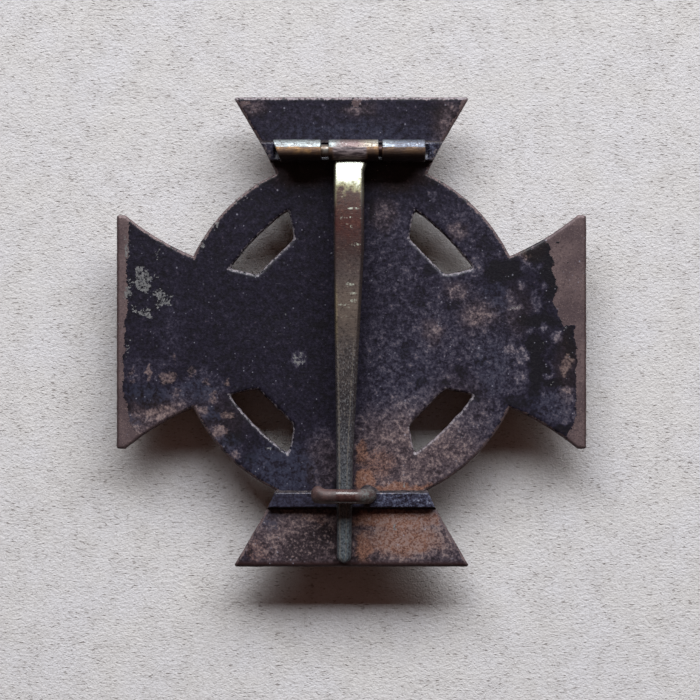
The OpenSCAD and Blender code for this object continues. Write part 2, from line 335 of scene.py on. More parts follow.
def brass_tube_material():
    """Tarnished brass: pale on the lit side towards the arm's end, rubbed metal with a painted highlight;
    brown tarnish then painted shade on the other side.
    """
    g = Graph("tarnished_brass")
    brushed = g.noise(0.11 * MM, 3, 0.65, where=g.moved(stretch=(0.12, 1, 1)))
    fine = g.noise(0.26 * MM, 3, 0.6, seed=0.002)
    mid = g.noise(0.9 * MM, 4, 0.62, seed=0.005)
    x, y = g.axis("X"), g.axis("Y")

    # rubbed metal, partly a painted highlight: neutral on the left tube, pink then cream on the pin's
    # head, bluish on the right
    place = g.share(g.total(x, g.swing(mid, 1.4 * MM)), -7 * MM, 7 * MM)
    pale = g.ramp(place, (0.0, 144, 151, 154), (0.38, 144, 151, 152), (0.44, 118, 104, 104),
                  (0.54, 124, 106, 106), (0.6, 156, 148, 134), (0.66, 146, 140, 130),
                  (0.7, 138, 146, 154), (0.8, 106, 112, 126), (1.0, 100, 105, 118))
    pale = g.mix(g.step(brushed, 0.46, 0.66, 0, 0.8), pale, (84, 72, 72))
    pale = g.mix(g.step(fine, 0.54, 0.68, 0, 0.7), pale, (62, 50, 48))
    pale = g.mix(g.step(fine, 0.42, 0.3, 0, 0.5), pale, (202, 206, 206))

    # tarnish: golden brown on the outer tubes, grey and brushed on the pin's head
    head = g.times(g.step(x, -1.8 * MM, -1.5 * MM), g.step(x, 1.5 * MM, 1.2 * MM))
    golden = g.mix(g.step(mid, 0.36, 0.6), (156, 118, 78), (100, 75, 60))
    golden = g.mix(g.step(x, 2.4 * MM, 3.0 * MM, 0, 0.7), golden, (62, 46, 42))
    grey = g.mix(g.step(brushed, 0.4, 0.6), (66, 54, 58), (140, 126, 128))
    tarnish = g.mix(head, golden, grey)
    # painted shade: the side away from the light darkens to near black, lower down on the pin's head
    painted_underside_shade = g.between(head, g.step(y, HINGE_Y + 0.14 * MM, HINGE_Y - 0.5 * MM),
                     g.step(y, HINGE_Y - 0.7 * MM, HINGE_Y - 0.9 * MM))
    tarnish = g.mix(painted_underside_shade, tarnish, (30, 18, 16))

    # the side that faces the light is pale: rubbed metal and a painted highlight
    side = g.step(y, HINGE_Y + 0.16 * MM, HINGE_Y + 0.4 * MM)
    rubbed = g.step(g.total(side, g.swing(mid, 1.1), g.swing(fine, 0.8)), 0.3, 0.75)
    colour = g.mix(rubbed, tarnish, pale)
    height = g.total(g.times(brushed, 0.6), g.times(mid, 0.5), g.times(fine, 0.3))
    rough = g.total(0.5, g.swing(mid, 0.3), g.swing(fine, 0.25))
    return g.finish(colour, rough, g.step(rubbed, 0, 1, 0.25, 0.8), height, 0.06 * MM)


# Light scratches across the needle: (x, y, half width, half height) in millimetres
SCRATCHES = (
    (-0.47, 10.1, 0.5, 0.08), (0.18, 10.9, 0.5, 0.09), (0.13, 9.3, 0.22, 0.2), (0.34, 7.7, 0.45, 0.13),
    (0.1, 3.4, 0.55, 0.09), (0.2, 2.75, 0.3, 0.16), (-0.7, 2.4, 0.45, 0.09), (-0.1, 4.2, 0.4, 0.1),
)


def needle_material():
    """Needle: pale at the root, bright brass and a painted highlight, red-brown under old lacquer, then
    tan and pitted grey to the tip.
    """
    g = Graph("needle_brass")
    low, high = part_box("brooch_pin")
    along = g.share(g.axis("Y"), low.y, high.y)
    tiny = g.noise(0.11 * MM, 3, 0.65)
    fine = g.noise(0.24 * MM, 3, 0.65, seed=0.001)
    mid = g.noise(0.8 * MM, 4, 0.62, seed=0.004)
    streak = g.noise(0.3 * MM, 3, 0.6, where=g.moved(stretch=(1, 0.2, 1)))
    wander = g.total(along, g.swing(mid, 0.08), g.swing(streak, 0.04))
    # the pale stops from 0.89 up, at the root, are bright brass and a painted highlight
    colour = g.ramp(wander, (0.0, 84, 92, 100), (0.15, 88, 94, 100), (0.27, 82, 82, 88),
                    (0.38, 58, 53, 56), (0.5, 82, 74, 73), (0.56, 94, 82, 76),
                    (0.62, 108, 94, 86), (0.68, 88, 76, 74), (0.74, 68, 50, 49),
                    (0.8, 64, 26, 22), (0.87, 56, 31, 22), (0.89, 128, 124, 94),
                    (0.905, 178, 180, 166), (1.0, 182, 184, 176))

    # thin lacquer that shows olive metal at the sides, tan on the left further down
    right, left = g.attribute("right_side"), g.attribute("left_side")
    sides = g.times(g.step(along, 0.83, 0.87), g.step(g.total(right, left, g.swing(fine, 1.2)), 0.2, 0.9))
    colour = g.mix(g.times(sides, 0.6), colour, (146, 144, 112))
    leftward = g.step(g.total(left, g.swing(fine, 0.9), g.swing(mid, 0.5)), 0.1, 0.9)
    tan = g.times(g.step(along, 0.5, 0.56), g.step(along, 0.68, 0.62), leftward)
    colour = g.mix(g.times(tan, 0.7), colour, (150, 136, 106))

    # mottling over the whole needle, dark and light
    grit = g.total(g.swing(fine, 1.3), g.swing(tiny, 0.9), g.swing(mid, 0.8))
    below_root = g.step(along, 0.91, 0.88, 0.35, 1.0)
    reddish = g.times(g.step(along, 0.72, 0.77), g.step(along, 0.9, 0.88))
    pale = g.mix(reddish, (140, 124, 112), (112, 70, 54))
    colour = g.mix(g.times(g.step(grit, 0.05, 0.5, 0, 0.5), below_root), colour, pale)
    colour = g.mix(g.times(g.step(grit, -0.02, -0.42, 0, 0.8), below_root), colour, (24, 18, 20))

    # slanting pits towards the tip, between two lighter ridges
    pits = g.noise(0.16 * MM, 2, 0.55, where=g.moved(stretch=(1.3, 0.75, 1), turn=(0, 0, 0.6)))
    pitted = g.step(along, 0.56, 0.48)
    colour = g.mix(g.times(pitted, g.step(pits, 0.5, 0.6, 0, 0.6)), colour, (28, 26, 30))
    colour = g.mix(g.times(pitted, g.step(pits, 0.44, 0.33, 0, 0.6)), colour, (128, 128, 130))
    ridge = g.times(pitted, g.step(g.total(g.attribute("ridge"), g.swing(fine, 1.2)), 0.5, 1.0))
    colour = g.mix(g.times(ridge, 0.5), colour, (128, 120, 110))
    green = g.times(g.step(along, 0.2, 0.06), g.step(fine, 0.5, 0.64))
    colour = g.mix(g.times(green, 0.5), colour, (100, 114, 118))

    # short cross scratches where the cloth rubbed: a few long ones, and many faint ones
    scratch = g.noise(0.2 * MM, 2, 0.5, where=g.moved(stretch=(0.34, 1.6, 1), turn=(0, 0, 0.12)))
    marks = g.times(g.step(scratch, 0.64, 0.7), g.step(mid, 0.48, 0.6), g.step(along, 0.55, 0.6), 0.6)
    broken = g.step(g.total(g.times(tiny, 0.5), g.times(streak, 0.5)), 0.46, 0.58)
    for x, y, half_w, half_h in SCRATCHES:
        marks = g.calc("MAXIMUM", marks, g.times(g.spot(x, y, half_w, half_h, fine), broken))
    colour = g.mix(g.times(marks, 0.75), colour, (200, 204, 188))

    # painted shade on the flanks, less on the lower half
    painted_flank_shade = g.step(g.total(right, g.swing(mid, 0.3), g.swing(fine, 0.3)), 0.3, 0.75)
    painted_flank_shade = g.calc("MAXIMUM", painted_flank_shade, g.step(g.total(left, g.swing(fine, 0.3)), 0.6, 0.95))
    colour = g.mix(g.times(painted_flank_shade, g.step(along, 0.45, 0.6, 0.45, 0.85)), colour, (30, 20, 22))

    metallic = g.step(along, 0.86, 0.93, 0.2, 0.75)
    rough = g.total(g.step(along, 0.86, 0.93, 0.5, 0.4), g.swing(fine, 0.25))
    height = g.total(g.times(scratch, 0.25), g.times(fine, 0.35), g.times(g.times(pits, pitted), -0.8))
    return g.finish(colour, rough, metallic, height, 0.05 * MM)


def strip_material():
    """Dark lacquered strip, chipped along its edges and dull at its ends; the lighter edge that faces the
    light is chipped lacquer and a painted highlight.
    """
    g = Graph("dark_strip")
    tiny = g.noise(0.12 * MM, 3, 0.65)
    fine = g.noise(0.28 * MM, 3, 0.65, seed=0.002)
    mid = g.noise(0.8 * MM, 4, 0.62, seed=0.008)
    right = g.step(g.axis("X"), -1 * MM, 4 * MM)
    mottle = g.total(g.swing(fine, 1.5), g.swing(mid, 0.9), g.swing(tiny, 0.9))
    level = g.total(0.36, g.times(mottle, g.total(0.6, g.times(right, 0.7))), g.times(right, 0.1))
    colour = g.ramp(level, (0.1, 15, 12, 20), (0.35, 38, 35, 50), (0.58, 60, 62, 82),
                    (0.82, 100, 104, 124), (1.0, 140, 142, 156))
    worn = g.step(g.total(g.attribute("worn"), g.swing(fine, 1.3), g.swing(mid, 0.7)), 0.42, 0.7)
    dull = g.mix(g.step(tiny, 0.35, 0.65), (74, 64, 66), (140, 128, 128))
    colour = g.mix(worn, colour, dull)
    height = g.total(g.times(tiny, 0.3), g.times(fine, 0.5), g.times(mid, 0.3))
    return g.finish(colour, g.total(0.4, g.swing(fine, 0.3)), g.total(0.1, g.times(worn, 0.3)), height,
                    0.05 * MM)


def solder_material():
    """Dull dark solder with brown stains and a few bright scrapes."""
    g = Graph("dull_solder")
    tiny = g.noise(0.14 * MM, 3, 0.6)
    mid = g.noise(0.5 * MM, 4, 0.6, seed=0.006)
    colour = g.mix(g.step(mid, 0.38, 0.62), (28, 22, 25), (58, 52, 55))
    colour = g.mix(g.step(tiny, 0.54, 0.7, 0, 0.7), colour, (98, 94, 96))
    height = g.total(g.times(tiny, 0.5), g.times(mid, 0.5))
    return g.finish(colour, g.total(0.8, g.swing(tiny, 0.2)), 0.0, height, 0.05 * MM, specular=0.15)


def copper_material():
    """Brown copper wire, handled smooth over the needle and stained grey where it is soldered."""
    g = Graph("copper_wire")
    drawn = g.noise(0.16 * MM, 3, 0.6, where=g.moved(stretch=(0.25, 1, 1)))
    fine = g.noise(0.24 * MM, 3, 0.65, seed=0.004)
    mid = g.noise(0.8 * MM, 4, 0.62, seed=0.0035)
    x = g.axis("X")
    colour = g.mix(g.step(mid, 0.36, 0.64), (50, 31, 31), (70, 46, 44))
    colour = g.mix(g.step(drawn, 0.5, 0.7, 0, 0.7), colour, (36, 23, 26))
    colour = g.mix(g.step(fine, 0.58, 0.72, 0, 0.5), colour, (116, 88, 84))
    place = g.total(x, g.swing(mid, 1.6 * MM), g.swing(fine, 1.0 * MM))
    blotch = g.step(g.total(mid, g.swing(fine, 1.1)), 0.42, 0.55)
    stain = g.times(g.step(place, 0.7 * MM, 1.1 * MM), blotch)
    crust = g.mix(g.step(fine, 0.4, 0.6), (36, 32, 32), (80, 80, 79))
    colour = g.mix(stain, colour, crust)
    height = g.total(g.times(drawn, 0.4), g.times(mid, 0.3), g.times(fine, 0.3))
    smooth_part = g.times(g.step(place, -1.8 * MM, -1.2 * MM), g.step(place, 0.7 * MM, 0.3 * MM))
    rough = g.total(g.step(smooth_part, 0, 1, 0.6, 0.26), g.swing(fine, 0.2))
    return g.finish(colour, rough, 0.0, height, 0.03 * MM, specular=0.6)


def steel_material():
    """Drawn wire, with painted shade: dark brown towards its right end, where it shows in the gap between
    the pin's head and the right tube.
    """
    g = Graph("rod_steel")
    grain = g.noise(0.1 * MM, 3, 0.6, where=g.moved(stretch=(0.15, 1, 1)))
    mid = g.noise(0.6 * MM, 3, 0.6, seed=0.1)
    colour = g.mix(g.step(mid, 0.4, 0.65), (142, 136, 130), (98, 84, 74))
    # painted shade: the right end darkened where it sits in the shadowed gap
    colour = g.mix(g.step(g.axis("X"), 0, 2 * MM), colour, (56, 38, 36))
    height = g.total(g.times(grain, 0.6), g.times(mid, 0.4))
    return g.finish(colour, g.total(0.32, g.times(grain, 0.2)), 0.7, height, 0.015 * MM)


def floor_material():
    """Plain pale card: a soft tooth, short dark pits, paler nubs and broad warm and cool parts."""
    g = Graph("pale_card")
    tooth = g.noise(0.3 * MM, 4, 0.6, where=g.moved(stretch=(0.75, 1, 1)))
    grain = g.noise(0.14 * MM, 2, 0.6, seed=0.002)
    patch = g.noise(1.6 * MM, 3, 0.55, seed=0.009)
    broad = g.noise(6 * MM, 3, 0.55, seed=0.005)
    colour = g.mix(g.step(broad, 0.3, 0.7), (211, 207, 206), (212, 209, 212))
    colour = g.mix(g.step(patch, 0.42, 0.66, 0, 0.3), colour, (192, 187, 185))
    colour = g.mix(g.step(grain, 0.45, 0.68, 0, 0.55), colour, (184, 178, 176))
    dashes = g.noise(0.26 * MM, 2, 0.5, where=g.moved(stretch=(0.5, 1.5, 1), shift=(0.01, 0, 0)))
    dark = g.step(g.total(dashes, g.swing(tooth, 0.35), g.swing(patch, 0.25)), 0.6, 0.72)
    colour = g.mix(g.times(dark, 0.6), colour, (128, 118, 114))
    nubs = g.step(g.total(grain, g.swing(tooth, -0.6)), 0.62, 0.78)
    colour = g.mix(g.times(nubs, 0.6), colour, (242, 241, 243))
    height = g.total(g.times(tooth, 0.6), g.times(grain, 0.3), g.times(dark, -0.25), g.times(nubs, 0.15))
    return g.finish(colour, 0.9, 0.0, height, 0.125 * MM, specular=0.15)


# ---------------------------------------------------------------- mesh helpers
def build(name, bm, materials, body, stands_for=None, smooth_angle=35):
    """Turns a bmesh into a piece that rides on a body and stands for a CAD node."""
    bmesh.ops.recalc_face_normals(bm, faces=bm.faces)
    mesh = bpy.data.meshes.new(name)
    bm.to_mesh(mesh)
    bm.free()
    mesh.polygons.foreach_set("use_smooth", [True] * len(mesh.polygons))
    mesh.set_sharp_from_angle(angle=math.radians(smooth_angle))
    for material in materials:
        mesh.materials.append(material)
    piece = bpy.data.objects.new(name, mesh)
    bpy.context.scene.collection.objects.link(piece)
    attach(piece, body)
    if stands_for:
        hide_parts(stands_for)
    return piece


def skin(bm, rows, closed_rows=True, closed_along=False):
    """Quads between rows of points; returns the rows of vertices."""
    made = [[bm.verts.new(point) for point in row] for row in rows]
    pairs = list(zip(made, made[1:]))
    if closed_along:
        pairs.append((made[-1], made[0]))
    for low, high in pairs:
        count = len(low)
        for i in range(count if closed_rows else count - 1):
            j = (i + 1) % count
            bm.faces.new((low[i], low[j], high[j], high[i]))
    return made


def cap(bm, ring):
    """Closes a ring of vertices with a fan round its middle."""
    middle = bm.verts.new(sum((v.co for v in ring), Vector()) / len(ring))
    for i, vertex in enumerate(ring):
        bm.faces.new((vertex, ring[(i + 1) % len(ring)], middle))


def solid(bm, rings):
    """A closed body: rings of points joined in turn, with a cap on the first and on the last."""
    made = skin(bm, rings)
    cap(bm, made[0])
    cap(bm, made[-1])
    return made


def smooth(value, low, high):
    """0 at low, 1 at high and a soft slope between them; low may be the larger."""
    t = min(1.0, max(0.0, (value - low) / (high - low)))
    return t * t * (3 - 2 * t)


def wobble(x, y, z, size, seed=0.0):
    """Smooth noise from about -1 to 1 with features of the given size."""
    return noise.noise(Vector((x / size + seed, y / size, z / size)))


# ---------------------------------------------------------------- the cross plate
def circles_meet(x0, y0, r0, r1):
    """Where a circle round (x0, y0) meets one of radius r1 round the middle, nearer the +Y axis."""
    distance = math.hypot(x0, y0)
    along = (r1 * r1 - r0 * r0 + distance * distance) / (2 * distance)
    across = math.sqrt(r1 * r1 - along * along)
    ux, uy = x0 / distance, y0 / distance
    return ux * along - uy * across, uy * along + ux * across


def arc(cx, cy, radius, start, end, count):
    """count points from angle start up to, but not including, angle end."""
    return [(cx + radius * math.cos(start + (end - start) * i / count),
             cy + radius * math.sin(start + (end - start) * i / count)) for i in range(count)]


def circle(radius, count):
    return arc(0, 0, radius, 0, math.tau, count)


def quarter_turn(steps):
    """Angles from 0 to a right angle, both included."""
    return [math.pi / 2 * i / steps for i in range(steps + 1)]


def side_arc(from_point, to_point, radius, count):
    """Points along the concave side of the arm that points to +Y, on its +X side."""
    start = math.atan2(from_point[1] - ARM_SIDE_Y, from_point[0] - ARM_SIDE_X) % math.tau
    end = math.atan2(to_point[1] - ARM_SIDE_Y, to_point[0] - ARM_SIDE_X) % math.tau
    return arc(ARM_SIDE_X, ARM_SIDE_Y, radius, start, end, count)


def half_arm(inset, straight):
    """Outline from the middle of the +Y arm's end, round its +X side, to the ring at the diagonal."""
    top, side_r = HALF_SPAN - inset, ARM_SIDE_R + inset
    fillet = max(TIP_FILLET - inset, 0.002 * MM)
    if straight:
        meet = (ARM_SIDE_X - math.sqrt(side_r ** 2 - (STRAIGHT_Y - ARM_SIDE_Y) ** 2), STRAIGHT_Y)
        side_x = meet[0] + STRAIGHT_SLOPE * (top - fillet - STRAIGHT_Y)
    else:
        side_x = TIP_HALF - inset
        meet = (side_x, ARM_SIDE_Y + math.sqrt(side_r ** 2 - (ARM_SIDE_X - side_x) ** 2))
    end_steps, fillet_steps, straight_steps, side_steps, ring_steps = 40, 4, 8, 30, 26
    points = [((side_x - fillet) * i / end_steps, top) for i in range(end_steps)]
    points += arc(side_x - fillet, top - fillet, fillet, math.pi / 2, 0, fillet_steps)
    rise = meet[1] - top + fillet
    for i in range(straight_steps):
        share = i / straight_steps
        points.append((side_x + (meet[0] - side_x) * share, top - fillet + rise * share))
    corner = circles_meet(ARM_SIDE_X, ARM_SIDE_Y, side_r, RING_R - inset)
    points += side_arc(meet, corner, side_r, side_steps)
    start = math.atan2(corner[1], corner[0])
    points += arc(0, 0, RING_R - inset, start, math.pi / 4, ring_steps)
    diagonal = (RING_R - inset) * DIAGONAL
    return points + [(diagonal, diagonal)]


def turned(points, quarter):
    """Points turned round the middle by quarter turns."""
    cosine, sine = ((1, 0), (0, -1), (-1, 0), (0, 1))[quarter % 4]
    return [(x * cosine - y * sine, x * sine + y * cosine) for x, y in points]


def outer_loop(inset):
    """The cross's outline; the arms that point to +Y and -Y have straight sides near their ends."""
    halves = [half_arm(inset, straight) for straight in (True, False)]
    loop = []
    for quarter in range(4):
        mirrored = [(-x, y) for x, y in reversed(halves[(quarter + 1) % 2])]
        loop += turned(halves[quarter % 2], quarter)[:-1] + turned(mirrored, quarter + 1)[:-1]
    return loop


def hole_loop(quarter, inset):
    """Outline of one opening, straight inside and flat outside; inset makes the opening larger."""
    inner, outer, side_r = HOLE_INNER_R - inset, HOLE_OUTER_R + inset, ARM_SIDE_R + inset
    low = circles_meet(ARM_SIDE_X, ARM_SIDE_Y, side_r, inner)
    high = circles_meet(ARM_SIDE_X, ARM_SIDE_Y, side_r, outer)
    middle = (low[0] + low[1]) / 2
    steps, outer_steps, soft_rounds = 12, 18, 3
    half = []
    for i in range(steps):
        half.append((middle + (low[0] - middle) * i / steps, middle + (low[1] - middle) * i / steps))
    half += side_arc(low, high, side_r, steps)
    chord = (high[0] + high[1]) * DIAGONAL
    for x, y in arc(0, 0, outer, math.atan2(high[1], high[0]), math.pi / 4, outer_steps):
        share = 0.5 + 0.5 * chord / ((x + y) * DIAGONAL)
        half.append((x * share, y * share))
    on_diagonal = (outer + chord) / 2 * DIAGONAL
    half.append((on_diagonal, on_diagonal))
    loop = half + [(y, x) for x, y in reversed(half[1:-1])]
    for _ in range(soft_rounds):
        after = loop[1:] + loop[:1]
        before = loop[-1:] + loop[:-1]
        loop = [((a[0] + 2 * b[0] + c[0]) / 4, (a[1] + 2 * b[1] + c[1]) / 4)
                for a, b, c in zip(before, loop, after)]
    return turned(loop, quarter)


def plate_loops(inset):
    """The outline of the plate and those of its four openings."""
    return [outer_loop(inset)] + [hole_loop(quarter, inset) for quarter in range(4)]


def chord_distance(radius):
    """Distance from the middle of the badge to the chord between an opening's two corners at a radius."""
    x, y = circles_meet(ARM_SIDE_X, ARM_SIDE_Y, ARM_SIDE_R, radius)
    return (x + y) * DIAGONAL


INNER_CHORD = chord_distance(HOLE_INNER_R)
OUTER_CHORD = chord_distance(HOLE_OUTER_R)


def depth_inside(x, y):
    """About how far a point of the plate lies from the nearest edge."""
    radius = math.hypot(x, y)
    diagonal = max((abs(x) + abs(y)) * DIAGONAL, 0.1 * MM)
    outer = min(HOLE_OUTER_R, (HOLE_OUTER_R + OUTER_CHORD * radius / diagonal) / 2)
    best = max(INNER_CHORD - diagonal, min(RING_R - radius, radius - outer))
    for u, v, straight in ((x, y, True), (y, x, False), (x, -y, True), (y, -x, False)):
        if v > 0:
            side = math.hypot(abs(u) - ARM_SIDE_X, v - ARM_SIDE_Y) - ARM_SIDE_R
            if straight and v > STRAIGHT_Y:
                edge_x = STRAIGHT_X + STRAIGHT_SLOPE * (v - STRAIGHT_Y)
                side = min(side, (edge_x - abs(u)) / STRAIGHT_LENGTH)
            best = max(best, min(side, HALF_SPAN - v, TIP_HALF - abs(u)))
    return best


def arm_depth(x, y):
    """How far a point lies inside the arm that it is in, outside the ring."""
    u, v = (x, abs(y)) if abs(y) > abs(x) else (y, abs(x))
    side = math.hypot(abs(u) - ARM_SIDE_X, v - ARM_SIDE_Y) - ARM_SIDE_R
    return min(side, HALF_SPAN - v, TIP_HALF - abs(u), math.hypot(x, y) - RING_R + BORDER_W)


LEAF_PAIRS = 44
LEAF_LENGTH = 1.5 * MM
LEAF_WIDTH = 0.5 * MM
LEAF_LEAN = 0.42
LEAF_ROW = 0.4 * MM
VEIN_HALF_W = 0.07 * MM
VEIN_DEPTH = 0.35
BAND_SHARE = 0.62  # of the wreath's height; the leaves have the rest


def leaf_height(x, y):
    """Two rows of overlapping leaves along the ring, from 0 to 1."""
    radius, angle = math.hypot(x, y), math.atan2(y, x)
    pitch = math.tau / LEAF_PAIRS
    stagger = 0.25
    best = 0.0
    for row in (-1, 1):
        for shift in (-1, 0, 1):
            index = round(angle / pitch + stagger * row) + shift
            along = (angle - (index - stagger * row) * pitch) * RING_MIDDLE_R
            across = radius - RING_MIDDLE_R - row * LEAF_ROW
            lean = LEAF_LEAN * row
            a = along * math.cos(lean) + across * math.sin(lean)
            b = -along * math.sin(lean) + across * math.cos(lean)
            inside = 1 - (2 * a / LEAF_LENGTH) ** 2 - (2 * b / LEAF_WIDTH) ** 2
            if inside > 0:
                vein = 1 - VEIN_DEPTH * smooth(abs(b), VEIN_HALF_W, 0.0)
                best = max(best, math.sqrt(inside) * vein)
    return best


def front_relief(x, y):
    """How far the front stands over its sunken fields, from 0 to 1, as a die would strike it."""
    radius = math.hypot(x, y)
    rim_slope, border_slope = 0.14 * MM, 0.16 * MM
    if radius < HOLE_OUTER_R:
        return 1.0
    if radius <= RING_R:
        rim = min(RING_R - radius, radius - HOLE_OUTER_R)
        return 1 - smooth(rim, RIM_W, RIM_W + rim_slope)
    return 1 - smooth(arm_depth(x, y), BORDER_W, BORDER_W + border_slope)


def wreath_height(x, y):
    """The wreath's height over the ring's sunken field, from 0 to 1."""
    from_middle = abs(math.hypot(x, y) - RING_MIDDLE_R)
    foot, top, leaves_end = 1.0 * MM, 0.55 * MM, 0.85 * MM
    band = BAND_SHARE * (1 - smooth(from_middle, top, foot))
    leaves = leaf_height(x, y) * (1 - smooth(from_middle, leaves_end, foot))
    return band + (1 - BAND_SHARE) * leaves


def front_height(x, y):
    sunken = FIELD_DEPTH * (1 - front_relief(x, y))
    return FRONT_Z + sunken - (WREATH_H + FIELD_DEPTH) * wreath_height(x, y)


def grid_points(spacing, margin, nearest=0.0, farthest=math.inf):
    """Staggered points of the plate, more than margin from its edges and between two radii."""
    step_y = spacing * math.sqrt(3) / 2
    rows = int(HALF_SPAN / step_y)
    columns = int(HALF_SPAN / spacing)
    points = []
    for j in range(-rows, rows + 1):
        for i in range(-columns, columns + 1):
            x, y = (i + 0.5 * (j % 2)) * spacing, j * step_y
            if nearest <= math.hypot(x, y) < farthest and depth_inside(x, y) > margin:
                points.append((x, y))
    return points


def inside_loop(x, y, loop):
    inside = False
    for (x0, y0), (x1, y1) in zip(loop, loop[1:] + loop[:1]):
        if (y0 > y) != (y1 > y) and x < x0 + (x1 - x0) * (y - y0) / (y1 - y0):
            inside = not inside
    return inside


def face_sheet(bm, inset, inner_points, height_at=None):
    """A triangulated face of the plate between its loops, at height_at(x, y) or flat at the back."""
    loops = plate_loops(inset)
    points, edges, owner = [], [], []
    for number, loop in enumerate(loops):
        first = len(points)
        points += loop
        owner += [number] * len(loop)
        edges += [(first + i, first + (i + 1) % len(loop)) for i in range(len(loop))]
    points += inner_points
    owner += [0] * len(inner_points)
    triangles_inside, same_point = 1, 1e-9
    result = geometry.delaunay_2d_cdt([Vector(p) for p in points], edges, [], triangles_inside, same_point)
    flat, faces = result[0], result[2]
    verts = [bm.verts.new((p.x, p.y, height_at(p.x, p.y) if height_at else BACK_Z)) for p in flat]
    made = []
    for face in faces:
        number = owner[face[0]]
        middle = sum((flat[i] for i in face), Vector((0, 0))) / 3
        one_hole = number > 0 and all(owner[i] == number for i in face)
        if not (one_hole and inside_loop(middle.x, middle.y, loops[number])):
            made.append(bm.faces.new([verts[i] for i in face]))
    return made


